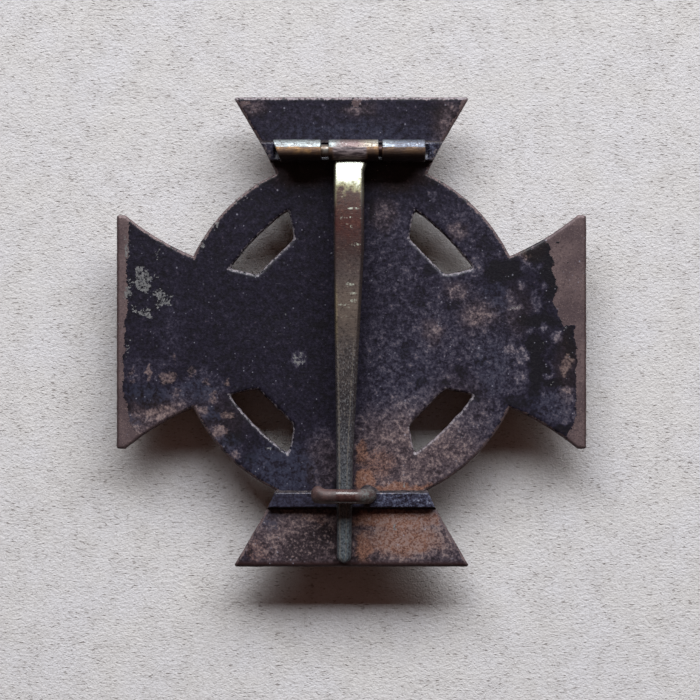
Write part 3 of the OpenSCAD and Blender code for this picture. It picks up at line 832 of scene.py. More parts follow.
# Marks on the back, each an ellipse: x, y, half width and half height in millimetres, and strength
MARKS = {
    "worn": [
        # the centre and the ring, right of the needle
        (8.2, -1.5, 6.6, 7.5, 0.4), (6.5, -9.5, 6.5, 5.0, 0.76), (11.0, -9.0, 3.5, 3.5, 0.6),
        (3.5, -3.5, 2.6, 7.5, 0.42), (4.2, 7.0, 3.2, 5.5, 0.36), (10.5, 8.5, 3.5, 3.5, 0.34),
        (11.3, 1.5, 1.6, 1.2, 0.74), (9.3, 3.6, 0.9, 0.8, 0.7), (7.3, 0.1, 0.8, 0.9, 0.72),
        (9.5, 8.9, 0.8, 0.6, 0.7), (6.6, -1.4, 0.5, 0.5, 0.72), (5.2, 5.2, 0.6, 0.7, 0.55),
        (2.9, 10.4, 0.7, 1.1, 0.52), (7.4, 12.2, 0.5, 0.5, 0.6), (11.0, 5.9, 0.7, 1.0, 0.6),
        # right arm
        (12.8, -1.5, 2.4, 5.0, 0.46), (14.3, 3.2, 0.35, 0.8, 0.72), (14.6, 2.2, 0.5, 0.35, 0.85),
        (14.3, 1.0, 0.5, 0.35, 0.8), (14.6, -1.6, 1.1, 0.6, 0.85), (15.3, -2.2, 0.7, 0.7, 0.8),
        (15.1, -4.1, 0.5, 0.9, 0.72), (17.3, 0.3, 0.35, 0.4, 0.85), (18.3, -0.5, 0.4, 0.6, 0.8),
        (17.3, -4.0, 0.35, 0.4, 0.8), (17.2, -5.4, 0.3, 0.8, 0.62), (17.9, -3.2, 0.2, 0.6, 0.7),
        (16.4, 2.8, 0.5, 0.8, 0.6), (17.1, 4.0, 0.4, 0.35, 0.75), (15.6, 6.2, 0.5, 0.8, 0.68),
        (16.7, 5.9, 0.3, 0.4, 0.72), (15.3, 4.2, 0.3, 0.4, 0.72), (16.0, -0.1, 0.2, 0.4, 0.75),
        (19.0, -5.6, 1.1, 0.8, 0.7), (19.3, -7.4, 0.8, 0.8, 0.66), (18.0, -6.6, 1.5, 1.5, 0.42),
        (14.3, -5.5, 1.5, 1.5, 0.4), (16.0, 8.0, 1.2, 0.4, 0.7),
        # left arm and the ring beside it
        (-19.2, -9.4, 1.8, 1.3, 0.9), (-17.2, -7.6, 2.2, 0.9, 0.82), (-15.2, -6.9, 1.4, 0.6, 0.7),
        (-15.3, -5.5, 1.2, 0.9, 0.48), (-19.0, -7.2, 0.9, 0.6, 0.62), (-13.6, -7.0, 0.9, 0.7, 0.75),
        (-12.2, -9.2, 0.9, 0.9, 0.7), (-10.6, -10.8, 0.9, 0.9, 0.55), (-12.4, -5.4, 1.2, 0.9, 0.42),
        (-18.5, -3.5, 2.4, 1.3, 0.3), (-13.5, -4.2, 1.8, 1.0, 0.34), (-16.0, 0.0, 1.2, 3.0, 0.2),
        # top arm
        (0.5, 19.9, 1.2, 0.5, 0.62), (-9.0, 20.1, 1.2, 0.6, 0.5), (9.2, 20.1, 0.9, 0.7, 0.55),
        (8.5, 18.6, 0.7, 1.2, 0.62), (7.7, 17.4, 0.7, 0.7, 0.62), (0.0, 18.6, 8.0, 2.0, 0.17),
        (-2.3, 20.2, 0.4, 0.4, 0.45), (3.9, 20.5, 0.4, 0.3, 0.4),
        # bottom arm
        (-4.5, -18.0, 6.0, 3.0, 0.76), (5.0, -18.0, 5.5, 3.0, 0.9), (-7.6, -19.0, 1.8, 1.8, 0.74),
        (8.5, -19.5, 2.0, 1.5, 0.72), (3.8, -13.2, 4.0, 1.2, 0.76), (-2.6, -11.5, 1.6, 3.0, 0.42),
        (-6.5, -12.5, 3.0, 2.0, 0.28), (-4.7, -2.4, 0.5, 0.55, 0.7),
    ],
    "kept": [
        (13.4, 5.4, 1.6, 0.9, 1.0), (16.6, 7.2, 1.2, 0.9, 1.0), (17.7, 5.0, 0.6, 1.8, 0.8),
        (16.3, -1.3, 0.9, 0.9, 0.8), (16.6, -3.6, 0.8, 1.8, 0.9), (13.6, 0.5, 0.6, 1.2, 0.4),
        (19.4, -1.0, 0.5, 1.4, 0.8), (19.0, -8.6, 0.5, 0.5, 0.9), (16.5, 1.0, 1.8, 0.6, 0.6),
        (14.6, -6.1, 1.2, 0.7, 0.7), (5.9, 2.7, 0.8, 0.9, 0.5), (11.7, -2.7, 0.5, 0.3, 0.7),
        (18.2, -4.6, 0.9, 0.5, 0.7), (12.0, 7.9, 0.9, 0.9, 0.5), (3.6, 1.0, 0.8, 1.2, 0.3),
        (-4.0, -19.4, 2.4, 1.2, 0.5), (-2.8, -18.0, 1.3, 1.2, 0.6), (6.2, 3.6, 0.6, 0.5, 0.4),
        (-2.85, 0.75, 0.6, 0.35, 0.5), (-9.0, -11.2, 0.6, 0.5, 0.5), (-10.6, -9.5, 0.8, 0.8, 0.5),
        (18.7, 8.3, 0.35, 0.1, 0.9), (19.6, 8.15, 0.3, 0.09, 0.8), (19.4, 6.4, 0.16, 0.14, 0.7),
        (18.9, 5.4, 0.14, 0.15, 0.7), (19.9, 4.9, 0.13, 0.1, 0.6),
        (8.9, 2.2, 0.5, 0.4, 0.8), (6.2, -4.4, 0.6, 0.5, 0.7), (9.9, -3.6, 0.5, 0.6, 0.8),
        (7.4, -7.1, 0.5, 0.4, 0.7), (4.6, -1.6, 0.5, 0.6, 0.6), (10.9, -5.9, 0.6, 0.4, 0.7),
        (8.4, -4.6, 0.4, 0.4, 0.7), (6.9, 5.6, 0.7, 0.5, 0.6), (9.7, -9.1, 0.4, 0.5, 0.6),
    ],
    "warm": [
        (5.5, -11.5, 6.5, 4.5, 0.85), (11.4, 1.5, 1.8, 1.4, 0.6), (9.3, 3.6, 1.2, 1.0, 0.5),
        (7.3, 0.0, 1.0, 1.2, 0.5), (9.5, 8.9, 1.0, 0.8, 0.5), (-17.5, -8.0, 4.0, 2.2, 0.85),
        (0.0, -18.5, 11.5, 3.5, 0.9), (2.8, 10.4, 1.2, 1.6, 0.5), (19.2, -3.0, 1.0, 3.0, 0.6),
        (14.8, 2.0, 1.2, 2.2, 0.4), (-12.5, -8.0, 3.0, 2.5, 0.5), (-2.6, -12.0, 1.6, 2.6, 0.5),
        (0.5, 19.9, 1.5, 0.7, 0.6), (8.6, 18.8, 1.4, 2.0, 0.8), (-9.2, 20.0, 1.5, 0.9, 0.7),
        (9.5, -7.5, 3.0, 3.5, 0.35), (15.8, 7.5, 1.6, 1.0, 0.6),
        (-4.4, 14.1, 2.8, 1.2, 1.0), (4.2, 13.9, 2.8, 1.3, 1.0),
    ],
    "blue": [
        (-6.4, -12.4, 3.2, 2.2, 1.0), (-13.6, -5.3, 1.8, 0.9, 0.9), (-17.8, -5.6, 2.6, 0.8, 0.8),
        (-19.2, -7.9, 1.0, 0.9, 0.8), (-12.3, -7.3, 1.1, 0.9, 0.9), (-11.2, -9.9, 1.2, 0.9, 0.8),
        (-19.4, -5.4, 0.9, 0.8, 0.6), (0.0, 17.9, 6.5, 0.8, 0.6), (-7.1, -17.0, 0.9, 0.9, 1.0),
        (6.7, -18.9, 0.6, 0.6, 0.9), (7.2, -17.5, 0.7, 0.25, 0.8), (3.0, -17.8, 0.6, 0.25, 0.9),
        (12.5, -3.0, 1.6, 2.6, 0.6), (13.2, 3.0, 1.4, 1.2, 0.6), (17.8, -6.6, 1.8, 1.2, 0.6),
        (10.0, -7.5, 2.5, 2.0, 0.3), (5.0, -4.5, 3.0, 4.0, 0.25), (9.0, -12.5, 1.5, 1.0, 0.4),
    ],
    "pink": [
        (-18.1, -3.6, 0.3, 1.0, 0.85), (-19.7, -3.5, 0.4, 0.4, 0.6), (-19.6, -4.4, 0.35, 0.25, 0.6),
        (-16.4, -4.0, 0.7, 0.6, 0.8), (-14.3, -3.5, 0.5, 0.5, 0.6), (-12.9, -4.5, 0.4, 0.4, 0.7),
        (-11.3, -4.5, 0.4, 0.4, 0.8), (-12.4, -5.8, 0.4, 0.5, 0.7), (-11.0, -7.4, 0.5, 0.5, 0.85),
        (-13.5, -6.9, 0.8, 0.5, 0.75), (-11.9, -8.8, 0.9, 0.4, 0.85), (-15.5, -5.6, 0.4, 0.5, 0.6),
        (-15.9, -2.4, 0.25, 0.5, 0.6), (-17.0, -7.2, 1.6, 0.6, 0.75), (-19.2, -7.3, 0.8, 0.4, 0.6),
        (-19.4, -9.5, 1.3, 0.8, 0.75), (-10.5, -11.0, 0.7, 0.5, 0.6), (19.2, -2.9, 0.45, 0.9, 0.9),
        (14.6, -1.5, 1.0, 0.35, 0.6), (19.0, -5.4, 0.9, 0.3, 0.55), (14.4, 1.1, 0.3, 0.25, 0.6),
        (11.4, 1.4, 0.8, 0.7, 0.55), (15.3, 7.0, 0.8, 0.5, 0.6), (5.5, -9.9, 0.8, 0.4, 0.6),
    ],
    "rust": [
        (4.0, -16.8, 3.6, 0.9, 1.0), (4.6, -18.6, 3.4, 1.4, 0.75), (1.2, -19.2, 0.9, 1.4, 0.7),
        (1.2, -13.2, 0.9, 0.9, 0.9), (4.2, -13.9, 3.2, 0.4, 0.75), (1.0, -10.6, 0.5, 1.2, 0.55),
        (7.2, -16.7, 0.7, 0.6, 0.7), (14.8, 7.4, 0.8, 0.4, 0.8), (2.5, -11.8, 1.6, 1.5, 0.4),
        (-3.4, -16.6, 1.4, 0.5, 0.35), (-8.5, -19.5, 1.2, 0.9, 0.3),
    ],
    "bare": [
        (0.6, 20.6, 0.6, 0.25, 0.8), (-9.8, 20.6, 0.7, 0.25, 0.8), (9.8, 20.4, 0.6, 0.5, 0.8),
        (19.0, 0.9, 0.5, 0.35, 0.7), (20.6, -9.6, 1.3, 1.2, 1.0), (-20.3, -9.9, 0.9, 0.8, 0.9),
        (15.0, 7.6, 1.6, 0.35, 0.7),
    ],
    "flake": [
        (-18.6, 4.4, 0.75, 1.2, 0.62), (-18.9, 5.7, 0.4, 0.6, 0.55), (-19.7, 4.4, 0.5, 0.6, 0.5),
        (-20.1, 3.3, 0.4, 0.5, 0.6), (-17.1, 3.6, 0.7, 0.6, 0.56), (-17.0, 2.7, 0.7, 0.6, 0.58),
        (-16.2, 2.9, 0.35, 0.8, 0.52), (-18.6, 1.8, 0.9, 0.5, 0.58), (-19.3, 2.2, 0.4, 0.4, 0.5),
        (-18.0, 1.3, 0.35, 0.35, 0.62), (-17.5, 7.1, 0.2, 0.45, 0.56), (-17.3, 4.9, 0.25, 0.25, 0.6),
        (-13.4, 8.2, 0.4, 1.0, 0.52), (-12.5, 9.5, 0.6, 0.4, 0.5), (-10.0, 11.9, 1.3, 0.4, 0.42),
        (-4.6, -2.4, 0.5, 0.55, 0.5), (-6.0, 1.9, 0.3, 0.6, 0.4), (-20.3, 7.5, 0.3, 1.5, 0.5),
        (-20.2, -1.2, 0.25, 1.4, 0.45), (-3.5, -5.3, 0.2, 0.4, 0.5), (-7.4, -10.5, 0.6, 0.3, 0.5),
        (4.7, 17.9, 0.2, 0.2, 0.4), (14.6, 2.2, 0.4, 0.25, 0.5), (18.9, 0.4, 0.25, 0.25, 0.6),
        (17.1, -1.3, 0.2, 0.2, 0.6), (17.8, -4.7, 0.15, 0.3, 0.6), (9.4, -11.7, 0.3, 0.2, 0.5),
        (4.8, -18.0, 3.0, 1.2, 0.22), (3.9, -17.6, 0.2, 0.2, 0.7), (4.7, -13.7, 0.2, 0.2, 0.6),
    ],
}
# Where the bare metal of the right arm's end begins, and where that of the left arm's ends: (y, x)
RIGHT_EDGE = ((10.5, 15.5), (8.9, 17.2), (8.2, 16.6), (7.9, 17.4), (6.2, 17.7), (4.7, 18.05),
              (3.8, 17.85), (2.6, 18.1), (1.7, 18.45), (0.7, 18.7), (0.6, 20.0), (-7.7, 20.1),
              (-9.0, 19.6), (-10.5, 19.2))
LEFT_EDGE = ((10.5, -19.9), (8.0, -20.05), (6.0, -20.15), (2.0, -20.1), (1.0, -20.35), (-1.0, -20.45),
             (-5.0, -20.5), (-6.0, -20.35), (-8.0, -19.9), (-9.0, -19.2), (-10.5, -18.5))


# The share of a mark's size over which its edge fades, for small marks and for broad ones
SMALL_SOFT = 0.28
BROAD_SOFT = 0.45
# The shifts that bend the marks' edges, in millimetres: (amount, size of its features, seed)
WARPS = ((0.42, 1.5, 0.0), (0.32, 0.6, 2.1), (0.16, 0.3, 4.6))
# How far the worn rims of the openings reach beyond them
INNER_RIM_W = 0.9 * MM
OUTER_RIM_W = 0.6 * MM
# Where the painted highlight just inside the bottom arm's lower edge runs, and its half height, in
# millimetres
LOWER_PAINTED_HIGHLIGHT_Y = -20.3
LOWER_PAINTED_HIGHLIGHT_HALF_H = 0.2


def along_line(line, y):
    """The x at which a line of (y, x) points, from the top down, passes y."""
    for (y0, x0), (y1, x1) in zip(line, line[1:]):
        if y >= y1:
            return x0 + (x1 - x0) * min(1.0, max(0.0, (y0 - y) / (y0 - y1)))
    return line[-1][1]


def mark_at(kind, x, y):
    """Strength of one kind of mark at a point of the back, given in millimetres."""
    best, reach = 0.0, 1.4
    for cx, cy, half_w, half_h, strength in MARKS[kind]:
        dx, dy = (x - cx) / half_w, (y - cy) / half_h
        if abs(dx) < reach and abs(dy) < reach:
            soft = SMALL_SOFT if half_w * half_h < 1 else BROAD_SOFT
            best = max(best, strength * (1 - smooth(math.hypot(dx, dy), 1 - soft, 1 + soft)))
    return best


def warped(x, y, seed):
    """A shift in millimetres that makes the edges of marks irregular."""
    return sum(amount * wobble(x, y, 0, size, seed + extra) for amount, size, extra in WARPS)


def near_opening(x, y):
    """Whether a point lies in the openings' ring or on its rims."""
    return HOLE_INNER_R - INNER_RIM_W < math.hypot(x, y) < HOLE_OUTER_R + OUTER_RIM_W


def mark_vertex(vertex, layers):
    """Gives a vertex of the back the strength of each kind of mark; x and y are in millimetres."""
    x, y = vertex.co.x / MM, vertex.co.y / MM
    bent_x = x + warped(x, y, 3.1)
    bent_y = y + warped(x, y, 7.7)
    for kind in MARKS:
        vertex[layers[kind]] = mark_at(kind, bent_x, bent_y)
    edge_x = (x + bent_x) / 2
    right = smooth(edge_x - along_line(RIGHT_EDGE, y), -0.3, 0.3)
    left = smooth(along_line(LEFT_EDGE, y) - edge_x, -0.45, 0.35)
    edge = depth_inside(vertex.co.x, vertex.co.y)
    at_opening = near_opening(vertex.co.x, vertex.co.y)
    rubbed = 0.6 * (1 - smooth(edge, 0.12 * MM, 0.5 * MM))
    vertex[layers["bare"]] = max(vertex[layers["bare"]], right, left, 0.0 if at_opening else rubbed)
    rim = 0.62 * (1 - smooth(edge, 0.05 * MM, 0.4 * MM)) if at_opening else 0.0
    # painted highlights: a light line just inside the bottom arm's lower edge, and a band on the top arm's
    # rounded end
    lower_painted_highlight = 0.56 * max(0.0, 1 - abs(y - LOWER_PAINTED_HIGHLIGHT_Y) / LOWER_PAINTED_HIGHLIGHT_HALF_H)
    upper_painted_highlight = 0.6 * smooth(y, 20.6, 20.8)
    vertex[layers["rim"]] = max(rim, lower_painted_highlight, upper_painted_highlight)
    # painted shade: a dark band along the bottom arm's lower edge and the ends of the side arms
    vertex[layers["shade"]] = max(smooth(-y, 20.45, 20.65), 0.8 * smooth(abs(x), 20.72, 20.92))


def ragged(x, y, seed, fine_seed):
    """Two sizes of noise, as a punch leaves along an edge."""
    return wobble(x, y, 0, 0.8 * MM, seed) + 0.6 * wobble(x, y, 0, 0.35 * MM, fine_seed)


def roughen(vertex):
    """Knocks the punched outline and the back a little out of true."""
    x, y, z = vertex.co
    near_edge = 1 - smooth(depth_inside(x, y), 0.3 * MM, 0.9 * MM)
    size = (0.06 if near_opening(x, y) else 0.025) * MM * near_edge
    vertex.co.x += size * ragged(x, y, 1.3, 2.4)
    vertex.co.y += size * ragged(x, y, 6.1, 4.7)
    if z > BACK_Z - BACK_ROUND:
        sag = 0.02 * MM * (1 + wobble(x, y, 0, 3.2 * MM, 8.2))
        vertex.co.z -= sag * (z - BACK_Z + BACK_ROUND) / BACK_ROUND


def make_cross_plate():
    """The cross plate: rounded walls, a worn back and a struck front."""
    back_spacing, front_spacing, hidden_spacing = 0.21 * MM, 0.15 * MM, 0.6 * MM
    back_margin, front_margin = BACK_ROUND + 0.1 * MM, FRONT_ROUND + 0.08 * MM
    bm = bmesh.new()
    angles = quarter_turn(5)
    profile = [(BACK_ROUND * (1 - math.sin(a)), BACK_Z - BACK_ROUND * (1 - math.cos(a))) for a in angles]
    profile += [(FRONT_ROUND * (1 - math.cos(a)), FRONT_Z + FRONT_ROUND * (1 - math.sin(a)))
                for a in angles]
    levels = []
    for inset, z in profile:
        levels.append([[(x, y, z) for x, y in loop] for loop in plate_loops(inset)])
    for rows in zip(*levels):
        skin(bm, rows)
    face_sheet(bm, BACK_ROUND, grid_points(back_spacing, back_margin))
    points = grid_points(front_spacing, front_margin, nearest=HOLE_INNER_R)
    points += grid_points(hidden_spacing, front_margin, farthest=HOLE_INNER_R - 0.5 * MM)
    for face in face_sheet(bm, FRONT_ROUND, points, front_height):
        face.material_index = 1
    bmesh.ops.remove_doubles(bm, verts=bm.verts, dist=0.001 * MM)

    proud = bm.verts.layers.float.new("proud")
    layers = {kind: bm.verts.layers.float.new(kind) for kind in list(MARKS) + ["rim", "shade"]}
    walls_top, fields = BACK_Z - BACK_ROUND * 1.2, FRONT_Z + FIELD_DEPTH * 1.01
    wall_proud, least_proud, wall_bare = 0.6, 0.1, 0.75
    for vertex in bm.verts:
        z = vertex.co.z
        if z < walls_top:
            vertex[proud] = 1 - (z - FRONT_Z) / FIELD_DEPTH if z < fields else wall_proud
            if z < FRONT_Z - 0.1 * MM:
                on_leaf = leaf_height(vertex.co.x, vertex.co.y)
                vertex[proud] = least_proud + (1 - least_proud) * on_leaf
            vertex[layers["bare"]] = wall_bare
        else:
            mark_vertex(vertex, layers)
    for vertex in bm.verts:
        roughen(vertex)
    materials = [plate_back_material(), plate_front_material()]
    return build("plate", bm, materials, "badge", "cross_plate", 30)


# ---------------------------------------------------------------- the medallion
def make_medallion(bronze):
    """The disc, with a shallow groove round its middle and a rounded front edge."""
    low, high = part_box("medallion_disc")
    radius = high.x
    groove = ((5.9 * MM, low.z), (6.1 * MM, low.z + 0.1 * MM), (6.35 * MM, low.z), (7.2 * MM, low.z))
    edge = ((radius - 0.12 * MM, low.z), (radius - 0.03 * MM, low.z + 0.04 * MM),
            (radius, low.z + 0.15 * MM), (radius, high.z))
    around, evenly_proud = 128, 0.35
    bm = bmesh.new()
    proud = bm.verts.layers.float.new("proud")
    rings = []
    for r, z in ((0.02 * MM, low.z),) + groove + edge:
        rings.append([(x, y, z) for x, y in circle(r, around)])
    solid(bm, rings)
    for vertex in bm.verts:
        vertex[proud] = evenly_proud
    return build("medallion", bm, [bronze], "badge", "medallion_disc")


def make_rope_border(bronze):
    """A rope of three strands, laid in a ring and resting on the floor."""
    low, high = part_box("medallion_border")
    width, height = 1.5 * MM, high.z - low.z
    middle = high.x - width / 2
    steps, section, twists, strands = 360, 30, 26, 3
    strand_depth, strand_shape = 0.16, 0.6
    bm = bmesh.new()
    proud = bm.verts.layers.float.new("proud")
    rows, lifts = [], []
    for i in range(steps):
        angle = math.tau * i / steps
        row = []
        for j in range(section):
            phi = math.tau * j / section
            lift = abs(math.sin(strands / 2 * (phi + twists * angle)))
            scale = 1 - strand_depth + strand_depth * lift ** strand_shape
            r = middle + width / 2 * scale * math.cos(phi)
            z = (low.z + high.z) / 2 + height / 2 * scale * math.sin(phi)
            row.append((r * math.cos(angle), r * math.sin(angle), z))
            lifts.append(lift)
        rows.append(row)
    made = skin(bm, rows, closed_along=True)
    for vertex, lift in zip([v for row in made for v in row], lifts):
        vertex[proud] = smooth(lift, 0.1, 0.9)
    return build("rope_border", bm, [bronze], "badge", "medallion_border", 60)


def make_rosette(bronze):
    """Eight veined petals round a domed middle."""
    low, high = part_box("rosette")
    root, petal_half_w, petal_lift = 1.1 * MM, 1.05 * MM, 0.55 * MM
    petals, steps, half_steps = 8, 24, 8
    vein_depth, vein_width, ripple = 0.3, 0.12, 0.07
    length = high.x - root
    bm = bmesh.new()
    proud = bm.verts.layers.float.new("proud")
    for petal in range(petals):
        turn = math.tau * petal / petals
        rows, lifts = [], []
        for i in range(steps + 1):
            t = i / steps
            half = petal_half_w * math.sin(math.pi * t) ** 0.75 + 0.01 * MM
            row = []
            for j in range(2 * half_steps + 1):
                s = j / half_steps - 1
                bulge = (1 - s * s) ** 0.5 * (0.55 + 0.45 * math.sin(math.pi * t))
                vein = vein_depth * math.exp(-(s / vein_width) ** 2)
                vein += ripple * math.cos(14 * t + 5 * abs(s))
                lift = max(0.0, min(1.0, bulge - vein))
                u, v = root + length * t, s * half
                x = u * math.cos(turn) - v * math.sin(turn)
                y = u * math.sin(turn) + v * math.cos(turn)
                row.append((x, y, high.z - petal_lift * lift))
                lifts.append(lift)
            rows.append(row)
        made = skin(bm, rows, closed_rows=False)
        for vertex, lift in zip([v for row in made for v in row], lifts):
            vertex[proud] = lift
        rim = made[0] + [row[-1] for row in made[1:]]
        rim += made[-1][-2::-1] + [row[0] for row in made[-2:0:-1]]
        base = [bm.verts.new((v.co.x, v.co.y, high.z + 0.02 * MM)) for v in rim]
        for i in range(len(rim)):
            j = (i + 1) % len(rim)
            bm.faces.new((rim[i], base[i], base[j], rim[j]))
        bm.faces.new(base)
    boss_r, boss_h, smallest_r, around = 1.4 * MM, high.z - low.z, 0.001 * MM, 48
    rings = []
    for a in quarter_turn(8):
        z = high.z - boss_h * math.sin(a)
        rings.append([(x, y, z) for x, y in circle(boss_r * math.cos(a) + smallest_r, around)])
    for ring in solid(bm, rings):
        for vertex in ring:
            vertex[proud] = 0.9
    return build("rosette_petals", bm, [bronze], "badge", "rosette", 50)


# ---------------------------------------------------------------- tubes, rod and pin
TUBE_BORE = 0.55 * MM
HEAD_BORE = 0.6 * MM
HEAD_R = 1.0 * MM
HEAD_HALF_L = 1.5 * MM
LEFT_SLANT = 0.36


def tube(bm, start, end, outer, bore, slant=0.0, seed=0.0, dent=0.02 * MM, rim_round=0.1 * MM):
    """A tube along X round the hinge axis, with rounded rims; slant tilts its start in plan."""
    around, spacing, lip_h, lip_l = 56, 0.14 * MM, 0.02 * MM, 0.05 * MM
    stations = max(8, int((end - start) / spacing))
    length, corner = end - start - 2 * rim_round, 0.3 * rim_round
    profile = [(start, bore + lip_h), (start, outer - rim_round), (start + corner, outer - corner)]
    profile += [(start + rim_round + length * i / stations, outer) for i in range(stations + 1)]
    profile += [(end - corner, outer - corner), (end, outer - rim_round)]
    profile += [(end, bore + lip_h), (end - lip_l, bore), (start + lip_l, bore)]
    rows = []
    for x, r in profile:
        row = []
        for i in range(around):
            a = math.tau * i / around
            shape = r
            if r > bore + 0.1 * MM:
                shape = r - dent * max(0.0, 0.4 + wobble(x, 0.6 * MM * a, seed, 1.3 * MM, seed))
            y, z = shape * math.cos(a), shape * math.sin(a)
            share = 1 - (x - start) / (end - start)
            row.append((x - slant * y * max(0.0, share) ** 2, HINGE_Y + y, HINGE_Z + z))
        rows.append(row)
    skin(bm, rows, closed_along=True)


def make_knuckle(side, brass):
    """One outer hinge tube; the left one is cut off at a slant at its outer end."""
    node = f"hinge_knuckle_{side}"
    low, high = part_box(node)
    radius = (high.z - low.z) / 2
    bm = bmesh.new()
    if side == "left":
        start = low.x + (LEFT_SLANT + 0.02) * radius
        tube(bm, start, high.x, radius, TUBE_BORE, slant=LEFT_SLANT, seed=1.7)
    else:
        tube(bm, low.x, high.x, radius, TUBE_BORE, seed=4.2)
    return build(f"tube_{side}", bm, [brass], "badge", node, 50)


def make_rod(steel):
    """The rod through all three tubes, with bevelled ends."""
    low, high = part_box("hinge_rod")
    radius = (high.z - low.z) / 2
    end_r, bevel, around = 0.75 * radius, 0.1 * MM, 40
    bm = bmesh.new()
    rings = []
    for x, r in ((low.x, end_r), (low.x + bevel, radius), (-HEAD_HALF_L, radius), (HEAD_HALF_L, radius),
                 (high.x - bevel, radius), (high.x, end_r)):
        rings.append([(x, HINGE_Y + u, HINGE_Z + v) for u, v in circle(r, around)])
    solid(bm, rings)
    return build("rod", bm, [steel], "badge", "hinge_rod", 50)


# the needle, as the CAD source draws it
NEEDLE_RISE = math.radians(30)
NEEDLE_FALL = math.radians(4.5)
BOW_R = 14.7 * MM
NEEDLE_T = 0.9 * MM
TIP_T = 0.6 * MM
# its edges from above: (y, left x, right x) in millimetres
NEEDLE_EDGES = ((16.1, -1.58, 1.42), (15.0, -1.58, 1.42), (14.2, -1.58, 1.12), (7.3, -1.58, 1.12),
                (-11.0, -1.36, 0.14), (-20.6, -1.3, -0.02))


def needle_edges(y):
    """The needle's left and right x at a y."""
    y /= MM
    for (y0, left0, right0), (y1, left1, right1) in zip(NEEDLE_EDGES, NEEDLE_EDGES[1:]):
        if y >= y1 or y1 == NEEDLE_EDGES[-1][0]:
            t = min(1.0, max(0.0, (y0 - y) / (y0 - y1)))
            return (left0 + (left1 - left0) * t) * MM, (right0 + (right1 - right0) * t) * MM


def make_needle(material, head_material):
    """The rolled head and the bowed needle."""
    low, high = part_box("brooch_pin")
    root = HEAD_R - NEEDLE_T / 2
    centre_y = HINGE_Y - (root + BOW_R) * math.sin(NEEDLE_RISE)
    centre_z = HINGE_Z - (root + BOW_R) * math.cos(NEEDLE_RISE)
    bow_steps, straight_steps = 60, 110
    stations = []
    for i in range(bow_steps):
        a = NEEDLE_RISE - (NEEDLE_RISE + NEEDLE_FALL) * i / bow_steps
        stations.append((centre_y + BOW_R * math.sin(a), centre_z + BOW_R * math.cos(a), a, NEEDLE_T))
    end_y = centre_y - BOW_R * math.sin(NEEDLE_FALL)
    end_z = centre_z + BOW_R * math.cos(NEEDLE_FALL)
    run = end_y - low.y
    for i in range(straight_steps + 1):
        t = i / straight_steps
        z = end_z - run * t * math.tan(NEEDLE_FALL)
        stations.append((end_y - run * t, z, -NEEDLE_FALL, NEEDLE_T + (TIP_T - NEEDLE_T) * t))
    bm = bmesh.new()
    layers = {kind: bm.verts.layers.float.new(kind) for kind in ("right_side", "left_side", "ridge")}
    rows, spots = [], []
    tip_round, corner, crown_depth, dent = 0.62 * MM, 0.26 * MM, 0.14 * MM, 0.015 * MM
    corner_steps, flat_steps = 4, 14
    for y, z, slope, thick in stations:
        left, right = needle_edges(y)
        middle, half = (left + right) / 2, (right - left) / 2
        into_tip = (low.y + tip_round) - y
        if into_tip > 0:
            shrink = math.sqrt(max(0.0, 1 - (into_tip / tip_round) ** 2))
            half = max(half * shrink, 0.02 * MM)
            thick = thick * (0.45 + 0.55 * shrink)
        r = min(corner, half * 0.9, thick * 0.4)
        section = []
        for quadrant in range(4):
            sx = (1, -1, -1, 1)[quadrant]
            sz = (1, 1, -1, -1)[quadrant]
            for k in range(corner_steps + 1):
                a = math.pi / 2 * (quadrant + k / corner_steps)
                u = sx * (half - r) + r * math.cos(a)
                v = sz * (thick / 2 - r) + r * math.sin(a)
                section.append((u, v))
            if quadrant in (0, 2):
                for k in range(1, flat_steps):
                    u = sx * (half - r) * (1 - 2 * k / flat_steps)
                    section.append((u, sz * thick / 2))
        row = []
        for u, v in section:
            crown = -crown_depth * abs(u / half) ** 2.4 if v > 0 else 0.0
            nudge = dent * wobble(u, y, v, 1.4 * MM, 2.2)
            v += crown + min(0.0, nudge)
            row.append((middle + u, y + v * math.sin(slope), z + v * math.cos(slope)))
            spots.append((half - u, half + u))
        rows.append(row)
    made = solid(bm, rows)
    for vertex, (from_right, from_left) in zip([v for row in made for v in row], spots):
        vertex[layers["right_side"]] = 1 - smooth(from_right, 0.08 * MM, 0.5 * MM)
        vertex[layers["left_side"]] = 1 - smooth(from_left, 0.02 * MM, 0.45 * MM)
        vertex[layers["ridge"]] = max(math.exp(-(from_left / MM - 0.28) ** 2 / 0.02),
                                      math.exp(-(from_right / MM - 0.5) ** 2 / 0.008))
    needle_faces = len(bm.faces)
    tube(bm, low.x, high.x, HEAD_R, HEAD_BORE, seed=8.8, dent=0.03 * MM, rim_round=0.08 * MM)
    bm.faces.ensure_lookup_table()
    for face in bm.faces[needle_faces:]:
        face.material_index = 1
    materials = [material, head_material]
    return build("needle_and_head", bm, materials, "pin", "brooch_pin", 50)


# ---------------------------------------------------------------- strips, hook and solder
def half_width(y):
    """Half the width of the +Y or -Y arm at that distance from the middle."""
    return ARM_SIDE_X - math.sqrt(ARM_SIDE_R ** 2 - (abs(y) - ARM_SIDE_Y) ** 2)


